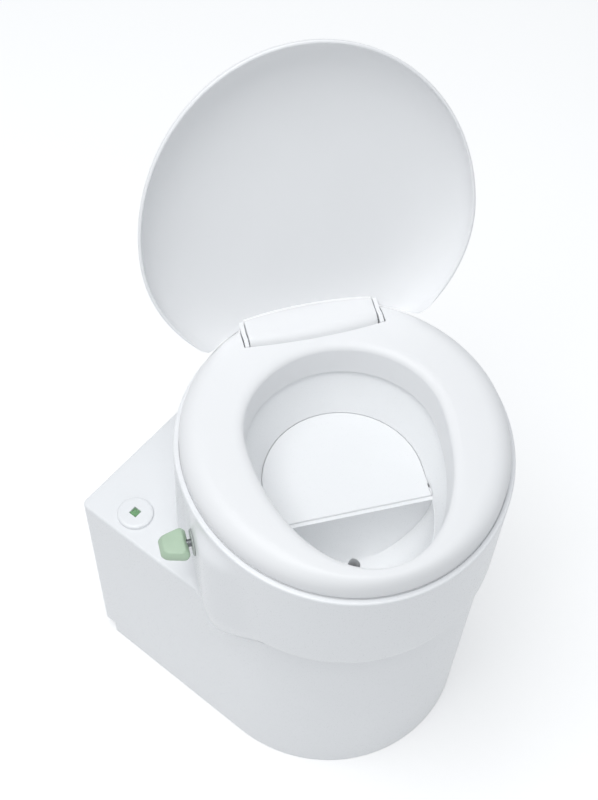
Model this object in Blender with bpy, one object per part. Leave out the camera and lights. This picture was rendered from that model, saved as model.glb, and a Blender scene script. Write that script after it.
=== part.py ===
"""A compact separating toilet: a moulded housing on a base pan, its bowl, seat and lid turned to one side.

The housing is modelled square to the wall, +Y towards the wall and the floor at Z = 0. Its origin is on
the bowl's upright axis. The bowl, the seat, the lid and the bowl's flap share a second frame, the bowl
frame, which is the first one turned about that axis by BOWL_TURN. There +X is the sitter's left side and
-Y the seat's front.
"""

import math

import bmesh
import bpy
from mathutils import Matrix, Vector

# Fits and cuts shared by every piece.
TOUCH_GAP = 0.0003
CUT_OVERRUN = 0.004
RUNNING_GAP = 0.0006
WELD_FINENESS = 100

# Lower body, in the housing's own frame.
BODY_HALF_WIDTH = 0.168
BODY_REAR = 0.228
BODY_FRONT_CENTRE = 0.006
BODY_DRAFT = 0.002
SHELF_HEIGHT = 0.306
BODY_WALL = 0.004
REAR_CORNER_RADIUS = 0.008
SHELF_EDGE_RADIUS = 0.003
NOTCH_HEIGHT = 0.022
NOTCH_DEPTH = 0.020

# Round drum that carries the bowl, in the bowl frame.
BOWL_TURN = math.radians(-37.0)
RIM_HEIGHT = 0.466
RIM_HALF_WIDTH = 0.170
RIM_FRONT = 0.184
RIM_EDGE_RADIUS = 0.002
RIM_LIP_WIDTH = 0.0055
DRUM_SHOULDER_HALF_WIDTH = 0.1725
DRUM_SHOULDER_FRONT = 0.1835
DRUM_SHOULDER_RISE = 0.030
DRUM_FOOT_HALF_WIDTH = 0.166
DRUM_FOOT_FRONT = 0.170
DRUM_FOOT_SINK = 0.010
DRUM_FOOT_FILLET = 0.015
DRUM_FOOT_LEAST_FILLET = 0.0006
LEDGE_WIDTH = 0.006
LEDGE_THICKNESS = 0.005
FLANGE_THICKNESS = 0.0037

# Flat pad on the drum for the flap's knob.
PAD_FACE = 0.1655
PAD_REAR = 0.008
PAD_FRONT = 0.062
PAD_ROOT = 0.140
PAD_SIDE_RUN = 0.045
PAD_FOOT_DRAW = 0.004
PAD_FOOT_FRONT = 0.048
PAD_FOOT_RISE = 0.036
PAD_TOP_DROP = 0.026
PAD_TOP_RUN = 0.012
RECESS_OUT = 0.190
RECESS_SINK = 0.001
RECESS_SLOPE = 0.010

# Bowl: funnel, chute and urine bowl.
BOWL_WALL = 0.0035
MOUTH_HALF_WIDTH = 0.107
MOUTH_FRONT = 0.165
MOUTH_REAR = 0.099
FLAP_SETBACK = 0.014
CHUTE_HALF_WIDTH = 0.0845
CHUTE_REACH = 0.048
FUNNEL_FRONT = 0.140
FUNNEL_STEP = 0.0012
SKIN_OVERLAP = 0.002
DIVIDER_WIDTH = 0.004
DRAIN_SETBACK = 0.075
DRAIN_BORE = 0.0065
SPIGOT_WALL = 0.0022
SPIGOT_LENGTH = 0.018
DRAIN_SHARE = 0.15

# Flap, its shaft and its knob.
FLAP_AXIS_SETBACK = 0.047
FLAP_THICKNESS = 0.004
FLAP_EDGE_GAP = 0.0012
BARREL_RADIUS = 0.006
BARREL_GAP = 0.001
SHAFT_RADIUS = 0.004
SHAFT_FIT = 0.0003
BUSH_WALL = 0.0022
BUSH_FLANGE_RADIUS = 0.009
BUSH_FLANGE = 0.0015
ESCUTCHEON_RADIUS = 0.014
ESCUTCHEON_THICKNESS = 0.0025
ESCUTCHEON_NECK = 0.012
KNOB_GAP = 0.003
KNOB_LENGTH = 0.029
KNOB_ROOT_HALF_WIDTH = 0.0175
KNOB_TIP_HALF_WIDTH = 0.009
KNOB_THICKNESS = 0.016
KNOB_BEVEL = 0.004
KNOB_CORNER_RUN = 0.004
KNOB_SOCKET = 0.013

# Seat ring.
SEAT_HALF_WIDTH = 0.164
SEAT_FRONT = 0.178
HOLE_HALF_WIDTH = 0.0995
HOLE_FRONT = 0.160
HOLE_REAR = 0.093
HOLE_TAPER = 0.002
BUFFER_HEIGHT = 0.003
SEAT_SKIRT = 0.006
SEAT_CROWN_RISE = 0.025
SEAT_SHOULDER_RUN = 0.024
SEAT_INNER_RUN = 0.012
SEAT_INNER_DROP = 0.007
SEAT_WALL = 0.004
SEAT_COLLAR_DROP = 0.011
BUFFER_RADIUS = 0.008
BUFFER_BOSS_WALL = 0.0015
BUFFER_ANGLES = (math.radians(40.0), math.radians(140.0), math.radians(218.0), math.radians(322.0))

# Hinge bar on the seat, the lid's ears and the seat's own hinge behind it.
LID_AXIS_SETBACK = 0.122
LID_AXIS_RISE = 0.0225
BAR_TOP_RISE = 0.0295
BAR_RADIUS = 0.0145
BAR_HALF_LENGTH = 0.068
BAR_FRONT = 0.109
BAR_FRONT_BOW = 0.0037
BAR_REAR = 0.1515
BAR_BOW = 0.0055
BAR_EDGE_RUN = 0.0015
BAR_WALL = 0.004
BAR_FLOOR = 0.003
BAR_GAP = 0.0008
EAR_THICKNESS = 0.0042
EAR_GAP = 0.0014
EAR_RADIUS = 0.0065
EAR_OUTLINE = (
    (-0.0065, 0.0),
    (-0.0065, 0.0059),
    (-0.0130, 0.0175),
    (-0.0130, 0.0210),
    (-0.0068, 0.0190),
    (0.0065, 0.0040),
    (0.0068, -0.0062),
    (0.0031, -0.0086),
    (-0.0012, -0.0092),
    (-0.0061, -0.0022),
)
PIN_RADIUS = 0.002
PIN_FIT = 0.0003
PIN_SEAT_DEPTH = 0.008
LUG_LENGTH = 0.0066
ENVELOPE_INSET = 0.0005
SWING_GAP = 0.0006
SEAT_AXIS_SETBACK = 0.157
SEAT_AXIS_RISE = 0.006
KNUCKLE_RADIUS = 0.0052
KNUCKLE_INNER = 0.030
KNUCKLE_LENGTH = 0.012
HINGE_PIN_RADIUS = 0.0025
SEAT_OPEN_LIMIT = math.radians(80.0)

# Lid.
LID_HALF_WIDTH = 0.168
LID_FRONT = 0.1832
LID_REAR_REACH = 0.1554
LID_CENTRE_SETBACK = 0.0054
LID_EDGE_DROP = 0.0112
LID_WALL = 0.0032
LID_DOME = 0.0418
LID_BACK_CUT = 0.0008
LID_EAR_CUT = 0.003
LID_EAR_CUT_HALF = 0.088
LID_BACK_CUT_HALF = 0.102
LID_NOTCH_CUT = 0.018
LID_NOTCH_BOW = 0.003
LID_REST_ANGLE = math.radians(110.0)

# Level indicator on the shelf, in the housing's frame.
DIAL_SIDE_SETBACK = 0.031
DIAL_REAR_SETBACK = 0.056
DIAL_RADIUS = 0.020
DIAL_HEIGHT = 0.0045
DIAL_EDGE_RADIUS = 0.002
DIAL_NECK_RADIUS = 0.0145
DIAL_BORE = 0.0125
DIAL_NECK_LENGTH = 0.006
WINDOW_SIDE = 0.010
LENS_THICKNESS = 0.0012
FLAG_RADIUS = 0.011
FLAG_THICKNESS = 0.005
FLAG_DROP = 0.010
STEM_RADIUS = 0.0025
STOP_RADIUS = 0.006
STOP_THICKNESS = 0.003
COLLAR_RADIUS = 0.016
COLLAR_FLANGE = 0.003
COLLAR_TUBE_HEIGHT = 0.018
COLLAR_PLUG = 0.007
FLOAT_RADIUS = 0.0105
FLOAT_HEIGHT = 0.045
FLOAT_DROP = 0.140

# Base pan, bin and urine tank, in the housing's frame.
PAN_THICKNESS = 0.003
PAN_LIP = 0.014
PAN_GAP = 0.0005
BIN_CENTRE_Y = -0.034
BIN_SIDE_ROOM = 0.039
BIN_TAPER = 0.013
BIN_HEADROOM = 0.0577
BIN_WALL = 0.0025
BIN_RIM_WIDTH = 0.005
BIN_RIM_HEIGHT = 0.006
BIN_RING_HEIGHT = 0.006
TANK_SIDE_ROOM = 0.010
TANK_WIDTH = 0.220
TANK_FRONT_GAP = 0.018
TANK_REAR_ROOM = 0.030
TANK_HEADROOM = 0.0557
TANK_WALL = 0.003
TANK_CORNER_RADIUS = 0.014
TANK_EDGE_RADIUS = 0.006
INLET_SETBACK = 0.096
INLET_BORE = 0.020
INLET_WALL = 0.0025
INLET_HEIGHT = 0.016
INLET_NECK = 0.012
INLET_FLANGE = 0.006
TANK_HOLE_FIT = 0.0004

# Drain pipe under the bowl.
PIPE_WALL = 0.002
PIPE_FIT = 0.0006
PIPE_RUN_DROP = 0.010
PIPE_END_DROP = 0.025
PIPE_OUTLET_DROP = 0.048
PIPE_SIDE_SETBACK = 0.118
PIPE_BEND = 0.022

# Vent outlet in the rear wall.
VENT_SIDE_SETBACK = 0.058
VENT_DROP = 0.056
VENT_RADIUS = 0.0375
VENT_WALL = 0.0025
VENT_LENGTH = 0.032
VENT_TAIL = 0.014
VENT_FLANGE_WIDTH = 0.008
VENT_FLANGE = 0.003

# Facet counts.
EGG_SIDES = 56
ARC_SIDES = 24
CORNER_SIDES = 4
ROUND_SIDES = 20
DIAL_SIDES = 32
BIN_SIDES = 40
BAR_SIDES = 6
PIPE_STEPS = 5

# Shares of a run, from its start to its end.
FLAP_LEVEL_SHARE = 0.65
DRAIN_LEVEL_SHARE = 0.18
FUNNEL_SHARES = (0.0, 0.2, 0.45, 0.7, 0.88, 1.0)
FUNNEL_BEND_SHARE = 1.3
FUNNEL_SQUARE_SHARE = 0.8
LID_RING_SHARES = (0.0, 0.09, 0.2, 0.33, 0.46, 0.6, 0.73, 0.86, 0.95)
LID_DOME_SHARE = 0.42
SEAT_SHOULDER_SHARES = (0.35, 0.65, 1.0)
SWING_SHARES = (0.0, 0.06, 0.12, 0.18, 0.25, 0.33, 0.42, 0.55, 0.7, 0.85, 1.0)

FLAP_LEVEL = SHELF_HEIGHT + FLAP_LEVEL_SHARE * (RIM_HEIGHT - SHELF_HEIGHT)
DRAIN_HEIGHT = SHELF_HEIGHT + DRAIN_LEVEL_SHARE * (RIM_HEIGHT - SHELF_HEIGHT)
CHUTE_BOTTOM = SHELF_HEIGHT - CHUTE_REACH
SEAT_BASE = RIM_HEIGHT + BUFFER_HEIGHT
SEAT_CROWN = SEAT_BASE + SEAT_CROWN_RISE
LID_AXIS = Vector((0, LID_AXIS_SETBACK, RIM_HEIGHT + LID_AXIS_RISE))
BAR_TOP = RIM_HEIGHT + BAR_TOP_RISE
SEAT_AXIS = Vector((0, SEAT_AXIS_SETBACK, RIM_HEIGHT + SEAT_AXIS_RISE))
FLAP_AXIS = Vector((0, -FLAP_AXIS_SETBACK, FLAP_LEVEL - BARREL_RADIUS))
FLANGE_BOTTOM = RIM_HEIGHT - FLANGE_THICKNESS
CHUTE_FRONT = FLAP_AXIS_SETBACK + BARREL_RADIUS + BARREL_GAP
DIVIDER_FRONT = CHUTE_FRONT + DIVIDER_WIDTH
BIN_TOP_RADIUS = BODY_HALF_WIDTH - BODY_WALL - BIN_SIDE_ROOM
BIN_BASE_RADIUS = BIN_TOP_RADIUS - BIN_TAPER
BIN_REACH = BIN_TOP_RADIUS + BIN_RIM_WIDTH
TANK_BASE = PAN_THICKNESS + TOUCH_GAP
TANK_TOP = SHELF_HEIGHT - TANK_HEADROOM
TANK_LEFT = TANK_SIDE_ROOM - BODY_HALF_WIDTH
TANK_RIGHT = TANK_LEFT + TANK_WIDTH
TANK_FRONT = BIN_CENTRE_Y + BIN_REACH + TANK_FRONT_GAP
TANK_REAR = BODY_REAR - TANK_REAR_ROOM
INLET_X = TANK_LEFT + INLET_SETBACK
INLET_Y = (TANK_FRONT + TANK_REAR) / 2 - TANK_WALL * 2
DIAL_X = DIAL_SIDE_SETBACK - BODY_HALF_WIDTH
DIAL_Y = BODY_REAR - DIAL_REAR_SETBACK
VENT_X = BODY_HALF_WIDTH - VENT_SIDE_SETBACK
VENT_Z = SHELF_HEIGHT - VENT_DROP


def clear_scene():
    """Empties the scene and its unused data."""
    for obj in list(bpy.data.objects):
        bpy.data.objects.remove(obj, do_unlink=True)
    for blocks in (bpy.data.meshes, bpy.data.materials, bpy.data.curves):
        for block in list(blocks):
            blocks.remove(block)


def plastic(name, colour, roughness, metallic=0.0):
    """A Principled material of one colour."""
    material = bpy.data.materials.new(name)
    material.use_nodes = True
    shader = material.node_tree.nodes["Principled BSDF"]
    shader.inputs["Base Color"].default_value = (*colour, 1.0)
    shader.inputs["Roughness"].default_value = roughness
    shader.inputs["Metallic"].default_value = metallic
    material.diffuse_color = (*colour, 1.0)
    return material


def make_materials():
    """Every finish of the toilet, by name."""
    return {
        "shell": plastic("white_shell", (0.86, 0.87, 0.89), 0.28),
        "seat": plastic("white_seat", (0.88, 0.89, 0.91), 0.22),
        "bowl": plastic("white_bowl", (0.86, 0.88, 0.90), 0.20),
        "trim": plastic("white_trim", (0.80, 0.82, 0.82), 0.35),
        "knob": plastic("sage_green", (0.46, 0.58, 0.45), 0.45),
        "flag": plastic("flag_green", (0.10, 0.42, 0.14), 0.50),
        "lens": plastic("clear_lens", (0.90, 0.95, 0.92), 0.05),
        "dark": plastic("dark_bush", (0.10, 0.12, 0.12), 0.50),
        "rubber": plastic("grey_rubber", (0.30, 0.31, 0.32), 0.70),
        "tank": plastic("milky_tank", (0.78, 0.80, 0.80), 0.40),
        "bin": plastic("grey_bin", (0.34, 0.36, 0.38), 0.45),
        "steel": plastic("steel_pin", (0.60, 0.61, 0.62), 0.30, 1.0),
    }


def mesh_object(name, points, faces, material=None):
    """An object made of a point list and a face list, with its faces pointing out."""
    mesh = bpy.data.meshes.new(name)
    mesh.from_pydata([tuple(p) for p in points], [], faces)
    work = bmesh.new()
    work.from_mesh(mesh)
    bmesh.ops.recalc_face_normals(work, faces=work.faces)
    work.to_mesh(mesh)
    work.free()
    obj = bpy.data.objects.new(name, mesh)
    bpy.context.scene.collection.objects.link(obj)
    if material:
        mesh.materials.append(material)
    return obj


def loft(name, rings, material=None):
    """A closed solid through rings of equal counts, capped at both ends."""
    count = len(rings[0])
    points = [p for ring in rings for p in ring]
    faces = []
    for level in range(len(rings) - 1):
        low = level * count
        for side in range(count):
            after = (side + 1) % count
            faces.append((low + side, low + after, low + count + after, low + count + side))
    faces.append(tuple(range(count))[::-1])
    top = (len(rings) - 1) * count
    faces.append(tuple(top + side for side in range(count)))
    return mesh_object(name, points, faces, material)


def hoop(name, sections, material=None):
    """A closed ring through sections of equal counts, the last joined to the first."""
    count = len(sections[0])
    points = [p for section in sections for p in section]
    faces = []
    for turn in range(len(sections)):
        here = turn * count
        there = ((turn + 1) % len(sections)) * count
        for side in range(count):
            after = (side + 1) % count
            faces.append((here + side, here + after, there + after, there + side))
    return mesh_object(name, points, faces, material)


def turned(name, profile, centre, sides, material=None, axis="Z"):
    """A solid turned about an axis through centre. The profile holds (radius, height) from end to end."""
    rings = []
    for radius, height in profile:
        ring = []
        for side in range(sides):
            angle = 2 * math.pi * side / sides
            across = (radius * math.cos(angle), radius * math.sin(angle))
            point = {
                "X": (height, across[0], across[1]),
                "Y": (across[1], height, across[0]),
                "Z": (across[0], across[1], height),
            }[axis]
            ring.append(Vector(point) + Vector(centre))
        rings.append(ring)
    return loft(name, rings, material)


def block(name, low, high, material=None):
    """A box between two corners."""
    corners = [(low[0], low[1]), (high[0], low[1]), (high[0], high[1]), (low[0], high[1])]
    return loft(name, [[Vector((x, y, z)) for x, y in corners] for z in (low[2], high[2])], material)


def weld(mesh):
    """Merges points that lie within a hair of each other, and the slivers between them."""
    work = bmesh.new()
    work.from_mesh(mesh)
    bmesh.ops.dissolve_degenerate(work, edges=work.edges, dist=TOUCH_GAP / WELD_FINENESS)
    work.to_mesh(mesh)
    work.free()


def combine(body, tool, operation):
    """Joins tool to body, or cuts it out of body, and removes tool."""
    modifier = body.modifiers.new(operation.title(), "BOOLEAN")
    modifier.operation = operation
    modifier.solver = "EXACT"
    modifier.object = tool
    graph = bpy.context.evaluated_depsgraph_get()
    graph.update()
    result = bpy.data.meshes.new_from_object(body.evaluated_get(graph))
    weld(result)
    body.modifiers.clear()
    old = body.data
    body.data = result
    bpy.data.meshes.remove(old)
    bpy.data.objects.remove(tool, do_unlink=True)


def cut(body, tool):
    """Cuts tool out of body."""
    combine(body, tool, "DIFFERENCE")


def join(body, tool):
    """Joins tool to body as one solid."""
    combine(body, tool, "UNION")


def smooth(obj):
    """Shades the round faces smooth and keeps the real edges sharp."""
    obj.data.shade_smooth()
    obj.data.set_sharp_from_angle(angle=math.radians(35))


def turn_mesh(obj, angle):
    """Turns the mesh about the bowl's upright axis."""
    obj.data.transform(Matrix.Rotation(angle, 4, "Z"))


def squared(value, share):
    """A sine or cosine pushed outwards, which squares the corners of an ellipse."""
    return math.copysign(abs(value) ** share, value)


def egg_point(half_width, front, rear, angle, setback=0.0, square=1.0):
    """A point of an egg outline: two half ellipses that share the width line at Y = -setback."""
    if math.sin(angle) > 0:
        return half_width * math.cos(angle), rear * math.sin(angle) - setback
    return half_width * squared(math.cos(angle), square), front * squared(math.sin(angle), square) - setback


def egg_ring(half_width, front, rear, height, setback=0.0, square=1.0):
    """An egg outline at one height, anticlockwise from +X."""
    ring = []
    for side in range(EGG_SIDES):
        x, y = egg_point(half_width, front, rear, 2 * math.pi * side / EGG_SIDES, setback, square)
        ring.append(Vector((x, y, height)))
    return ring


def body_ring(inset, height, rear_inset=0.0):
    """The lower body's U-shaped outline, drawn in by inset, anticlockwise from the right rear corner."""
    half = BODY_HALF_WIDTH - inset
    rear = BODY_REAR - rear_inset
    corner = max(REAR_CORNER_RADIUS - rear_inset, TOUCH_GAP)
    ring = []
    for centre_x, start in ((half - corner, 0.0), (corner - half, math.pi / 2)):
        for step in range(CORNER_SIDES + 1):
            angle = start + math.pi / 2 * step / CORNER_SIDES
            point = (centre_x + corner * math.cos(angle), rear - corner + corner * math.sin(angle), height)
            ring.append(Vector(point))
    for step in range(ARC_SIDES + 1):
        angle = math.pi + math.pi * step / ARC_SIDES
        ring.append(Vector((half * math.cos(angle), half * math.sin(angle) - BODY_FRONT_CENTRE, height)))
    return ring


def body_reach(direction):
    """How far the shelf's outline lies from the bowl's axis in a direction."""
    half = BODY_HALF_WIDTH - BODY_DRAFT
    along_x, along_y = math.cos(direction), math.sin(direction)
    reaches = [half / abs(along_x)] if along_x else []
    if along_y > 0:
        return min(reaches + [BODY_REAR / along_y])
    # The front half is round about a centre set forward of the bowl's axis.
    forward = -along_y * BODY_FRONT_CENTRE
    return forward + math.sqrt(max(forward**2 - BODY_FRONT_CENTRE**2 + half**2, 0))


def body_solid():
    """The lower body up to the shelf, with its rounded top edge."""
    rings = [body_ring(0, 0)]
    for step in range(CORNER_SIDES + 1):
        angle = math.pi / 2 * step / CORNER_SIDES
        inward = SHELF_EDGE_RADIUS * (1 - math.cos(angle))
        height = SHELF_HEIGHT - SHELF_EDGE_RADIUS * (1 - math.sin(angle))
        rings.append(body_ring(BODY_DRAFT + inward, height, inward))
    return loft("housing", rings)


def drum_rings():
    """Rings of the drum's outside, from its sunk foot up to the rim's edge."""
    rings = [[] for _ in range(3 * CORNER_SIDES + 3)]
    for side in range(EGG_SIDES):
        angle = 2 * math.pi * side / EGG_SIDES
        foot = Vector(egg_point(DRUM_FOOT_HALF_WIDTH, DRUM_FOOT_FRONT, DRUM_FOOT_HALF_WIDTH, angle))
        wide = Vector(
            egg_point(DRUM_SHOULDER_HALF_WIDTH, DRUM_SHOULDER_FRONT, DRUM_SHOULDER_HALF_WIDTH, angle)
        )
        top = Vector(egg_point(RIM_HALF_WIDTH, RIM_FRONT, RIM_HALF_WIDTH, angle))
        outward = foot.normalized()
        room = body_reach(math.atan2(foot.y, foot.x) + BOWL_TURN) - SHELF_EDGE_RADIUS - foot.length
        fillet = min(DRUM_FOOT_FILLET, max(room, DRUM_FOOT_LEAST_FILLET))
        column = [(foot - outward * DRUM_FOOT_SINK, SHELF_HEIGHT - DRUM_FOOT_SINK)]
        for step in range(CORNER_SIDES + 1):
            turn = math.pi / 2 * (1 - step / CORNER_SIDES)
            flare = fillet * (1 - math.cos(turn))
            column.append((foot + outward * flare, SHELF_HEIGHT + fillet * (1 - math.sin(turn))))
        for step in range(1, CORNER_SIDES + 1):
            share = step / CORNER_SIDES
            height = SHELF_HEIGHT + fillet + (DRUM_SHOULDER_RISE - fillet) * share
            column.append((foot.lerp(wide, math.sin(math.pi / 2 * share)), height))
        for step in range(CORNER_SIDES + 1):
            turn = math.pi / 2 * step / CORNER_SIDES
            inward = RIM_EDGE_RADIUS * (1 - math.cos(turn))
            height = RIM_HEIGHT - RIM_EDGE_RADIUS * (1 - math.sin(turn))
            column.append((top - top.normalized() * inward, height))
        for ring, (place, height) in zip(rings, column):
            ring.append(Vector((place.x, place.y, height)))
    return rings


def pad_solid():
    """The pad's outside, a flat face whose front end and top run back into the drum."""
    rings = []
    top = RIM_HEIGHT - PAD_TOP_DROP
    sections = (
        (SHELF_HEIGHT - DRUM_FOOT_SINK, PAD_FACE - PAD_FOOT_DRAW, PAD_FOOT_FRONT),
        (SHELF_HEIGHT, PAD_FACE - PAD_FOOT_DRAW, PAD_FOOT_FRONT),
        (SHELF_HEIGHT + PAD_FOOT_RISE, PAD_FACE, PAD_FRONT),
        (top, PAD_FACE, PAD_FRONT),
        (top + PAD_TOP_RUN, PAD_FACE - PAD_TOP_RUN, PAD_FRONT),
    )
    for height, face, front in sections:
        corners = (
            (-PAD_ROOT, -front - PAD_SIDE_RUN),
            (-PAD_ROOT, PAD_SIDE_RUN - PAD_REAR),
            (-face, -PAD_REAR),
            (-face, -front),
        )
        rings.append([Vector((x, y, height)) for x, y in corners])
    return loft("pad", rings)


def recess_cut():
    """The cut that flattens the drum's side behind the pad, with a sloping rear end and top."""
    rings = []
    foot = SHELF_HEIGHT + DRUM_FOOT_LEAST_FILLET
    top = RIM_HEIGHT - PAD_TOP_DROP + PAD_TOP_RUN / 2
    for depth, grow in ((PAD_FACE - RECESS_SINK, 0), (RECESS_OUT, RECESS_SLOPE)):
        rear = grow - PAD_REAR
        corners = ((-PAD_FRONT, foot), (rear, foot), (rear, top + grow), (-PAD_FRONT, top + grow))
        rings.append([Vector((-depth, y, z)) for y, z in corners])
    return loft("recess", rings)


def housing_cavity():
    """The space inside the lower body, which follows the notch for the skirting board."""
    rings = [body_ring(BODY_WALL, -CUT_OVERRUN, BODY_WALL)]
    rings.append(body_ring(BODY_WALL + BODY_DRAFT, SHELF_HEIGHT - BODY_WALL, BODY_WALL))
    cavity = loft("cavity", rings)
    low = (-BODY_HALF_WIDTH - CUT_OVERRUN, BODY_REAR - NOTCH_DEPTH - BODY_WALL, -2 * CUT_OVERRUN)
    high = (BODY_HALF_WIDTH + CUT_OVERRUN, BODY_REAR + CUT_OVERRUN, NOTCH_HEIGHT + BODY_WALL)
    cut(cavity, block("notch_back", low, high))
    return cavity


def rim_cut(inset, low, high):
    """A straight egg-shaped cut through the drum, drawn in from the rim's outline."""
    half, front = RIM_HALF_WIDTH - inset, RIM_FRONT - inset
    cutter = loft("rim_cut", [egg_ring(half, front, half, z) for z in (low, high)])
    turn_mesh(cutter, BOWL_TURN)
    return cutter


def drum_cavity(low, high):
    """The space inside the drum, which follows its foot, its shoulder and its rim."""
    sizes = (
        (DRUM_FOOT_HALF_WIDTH, DRUM_FOOT_FRONT, low),
        (DRUM_FOOT_HALF_WIDTH, DRUM_FOOT_FRONT, SHELF_HEIGHT + DRUM_FOOT_FILLET),
        (DRUM_SHOULDER_HALF_WIDTH, DRUM_SHOULDER_FRONT, SHELF_HEIGHT + DRUM_SHOULDER_RISE + BODY_WALL),
        (RIM_HALF_WIDTH, RIM_FRONT, high),
    )
    rings = []
    for half, front, height in sizes:
        rings.append(egg_ring(half - BODY_WALL, front - BODY_WALL, half - BODY_WALL, height))
    cavity = loft("drum_cavity", rings)
    back = PAD_FACE - RECESS_SINK - BODY_WALL
    top = RIM_HEIGHT - PAD_TOP_DROP + PAD_TOP_RUN + BODY_WALL
    low_corner = (-RECESS_OUT, -PAD_FRONT - PAD_SIDE_RUN, low - CUT_OVERRUN)
    cut(cavity, block("pad_back", low_corner, (-back, RECESS_SLOPE + BODY_WALL, top)))
    turn_mesh(cavity, BOWL_TURN)
    return cavity


def make_housing(materials):
    """The moulded outer housing: lower body, shelf, drum, knob pad and the ledge that the bowl hangs in."""
    housing = body_solid()
    low = (-BODY_HALF_WIDTH - CUT_OVERRUN, BODY_REAR - NOTCH_DEPTH, -CUT_OVERRUN)
    high = (BODY_HALF_WIDTH + CUT_OVERRUN, BODY_REAR + CUT_OVERRUN, NOTCH_HEIGHT)
    cut(housing, block("notch", low, high))
    drum = loft("drum", drum_rings())
    cut(drum, recess_cut())
    join(drum, pad_solid())
    turn_mesh(drum, BOWL_TURN)
    join(housing, drum)
    cut(housing, housing_cavity())
    shelf_under = SHELF_HEIGHT - BODY_WALL - CUT_OVERRUN
    ledge_under = FLANGE_BOTTOM - TOUCH_GAP - LEDGE_THICKNESS
    cut(housing, drum_cavity(shelf_under, ledge_under))
    cut(housing, rim_cut(RIM_LIP_WIDTH + LEDGE_WIDTH, ledge_under - CUT_OVERRUN, RIM_HEIGHT + CUT_OVERRUN))
    cut(housing, rim_cut(RIM_LIP_WIDTH, FLANGE_BOTTOM - TOUCH_GAP, RIM_HEIGHT + CUT_OVERRUN))
    neck = ESCUTCHEON_NECK / 2 + TOUCH_GAP
    hole = [(neck, -PAD_FACE - CUT_OVERRUN), (neck, -PAD_ROOT)]
    bore = turned("pad_bore", hole, (0, FLAP_AXIS.y, FLAP_AXIS.z), ROUND_SIDES, None, "X")
    turn_mesh(bore, BOWL_TURN)
    cut(housing, bore)
    neck = DIAL_NECK_RADIUS + TOUCH_GAP
    hole = [(neck, SHELF_HEIGHT - BODY_WALL - CUT_OVERRUN), (neck, SHELF_HEIGHT + CUT_OVERRUN)]
    cut(housing, turned("dial_hole", hole, (DIAL_X, DIAL_Y, 0), DIAL_SIDES))
    vent = VENT_RADIUS + TOUCH_GAP
    hole = [(vent, BODY_REAR - BODY_WALL - CUT_OVERRUN), (vent, BODY_REAR + CUT_OVERRUN)]
    cut(housing, turned("vent_hole", hole, (VENT_X, 0, VENT_Z), DIAL_SIDES, None, "Y"))
    housing.data.materials.append(materials["shell"])
    smooth(housing)
    return housing


def funnel_rings(grow, top):
    """Rings of the funnel from the mouth down to the flap's level, grown outwards by grow."""
    rings = [egg_ring(MOUTH_HALF_WIDTH + grow, MOUTH_FRONT + grow, MOUTH_REAR + grow, top)]
    for share in FUNNEL_SHARES:
        drawn = share**FUNNEL_BEND_SHARE
        foot = CHUTE_HALF_WIDTH + FUNNEL_STEP
        half = MOUTH_HALF_WIDTH + (foot - MOUTH_HALF_WIDTH) * drawn + grow
        front = MOUTH_FRONT + (FUNNEL_FRONT + FUNNEL_STEP - FLAP_SETBACK - MOUTH_FRONT) * drawn + grow
        rear = MOUTH_REAR + (foot - MOUTH_REAR) * drawn + grow
        height = RIM_HEIGHT + (FLAP_LEVEL - RIM_HEIGHT) * share
        if height < top:
            square = 1 - (1 - FUNNEL_SQUARE_SHARE) * drawn
            rings.append(egg_ring(half, front, rear, height, FLAP_SETBACK * drawn, square))
    return rings


def chute_ring(grow, height, front=None):
    """The chute's outline, half round behind and straight in front, grown outwards by grow."""
    half = CHUTE_HALF_WIDTH + grow
    front = (CHUTE_FRONT if front is None else front) + grow
    ring = [Vector((half, -front, height))]
    for step in range(ARC_SIDES + 1):
        angle = math.pi * step / ARC_SIDES
        ring.append(Vector((half * math.cos(angle), half * math.sin(angle) - FLAP_SETBACK, height)))
    ring.append(Vector((-half, -front, height)))
    return ring


def urine_rings(grow, rise):
    """Rings of the urine bowl, from the flap's level, plus rise, down to its drain."""
    half = CHUTE_HALF_WIDTH + grow
    front = FUNNEL_FRONT - FLAP_SETBACK + grow
    start = math.asin(((DIVIDER_FRONT - grow - FLAP_SETBACK) / front) ** (1 / FUNNEL_SQUARE_SHARE))
    outline = []
    for step in range(ARC_SIDES + 1):
        angle = -start - (math.pi - 2 * start) * step / ARC_SIDES
        place = egg_point(half, front, half, angle, FLAP_SETBACK, FUNNEL_SQUARE_SHARE)
        outline.append(Vector((*place, 0)))
    centre = Vector((0, -DRAIN_SETBACK, 0))
    depth = FLAP_LEVEL - DRAIN_HEIGHT
    rings = [[p + Vector((0, 0, FLAP_LEVEL + rise)) for p in outline]]
    for step in range(ARC_SIDES // 3 + 1):
        angle = math.pi / 2 * (1 - step / (ARC_SIDES // 3))
        share = DRAIN_SHARE + (1 - DRAIN_SHARE) * math.sin(angle)
        height = DRAIN_HEIGHT - grow + depth * (1 - math.cos(angle))
        rings.append([centre.lerp(p, share) + Vector((0, 0, height)) for p in outline])
    return rings


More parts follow.
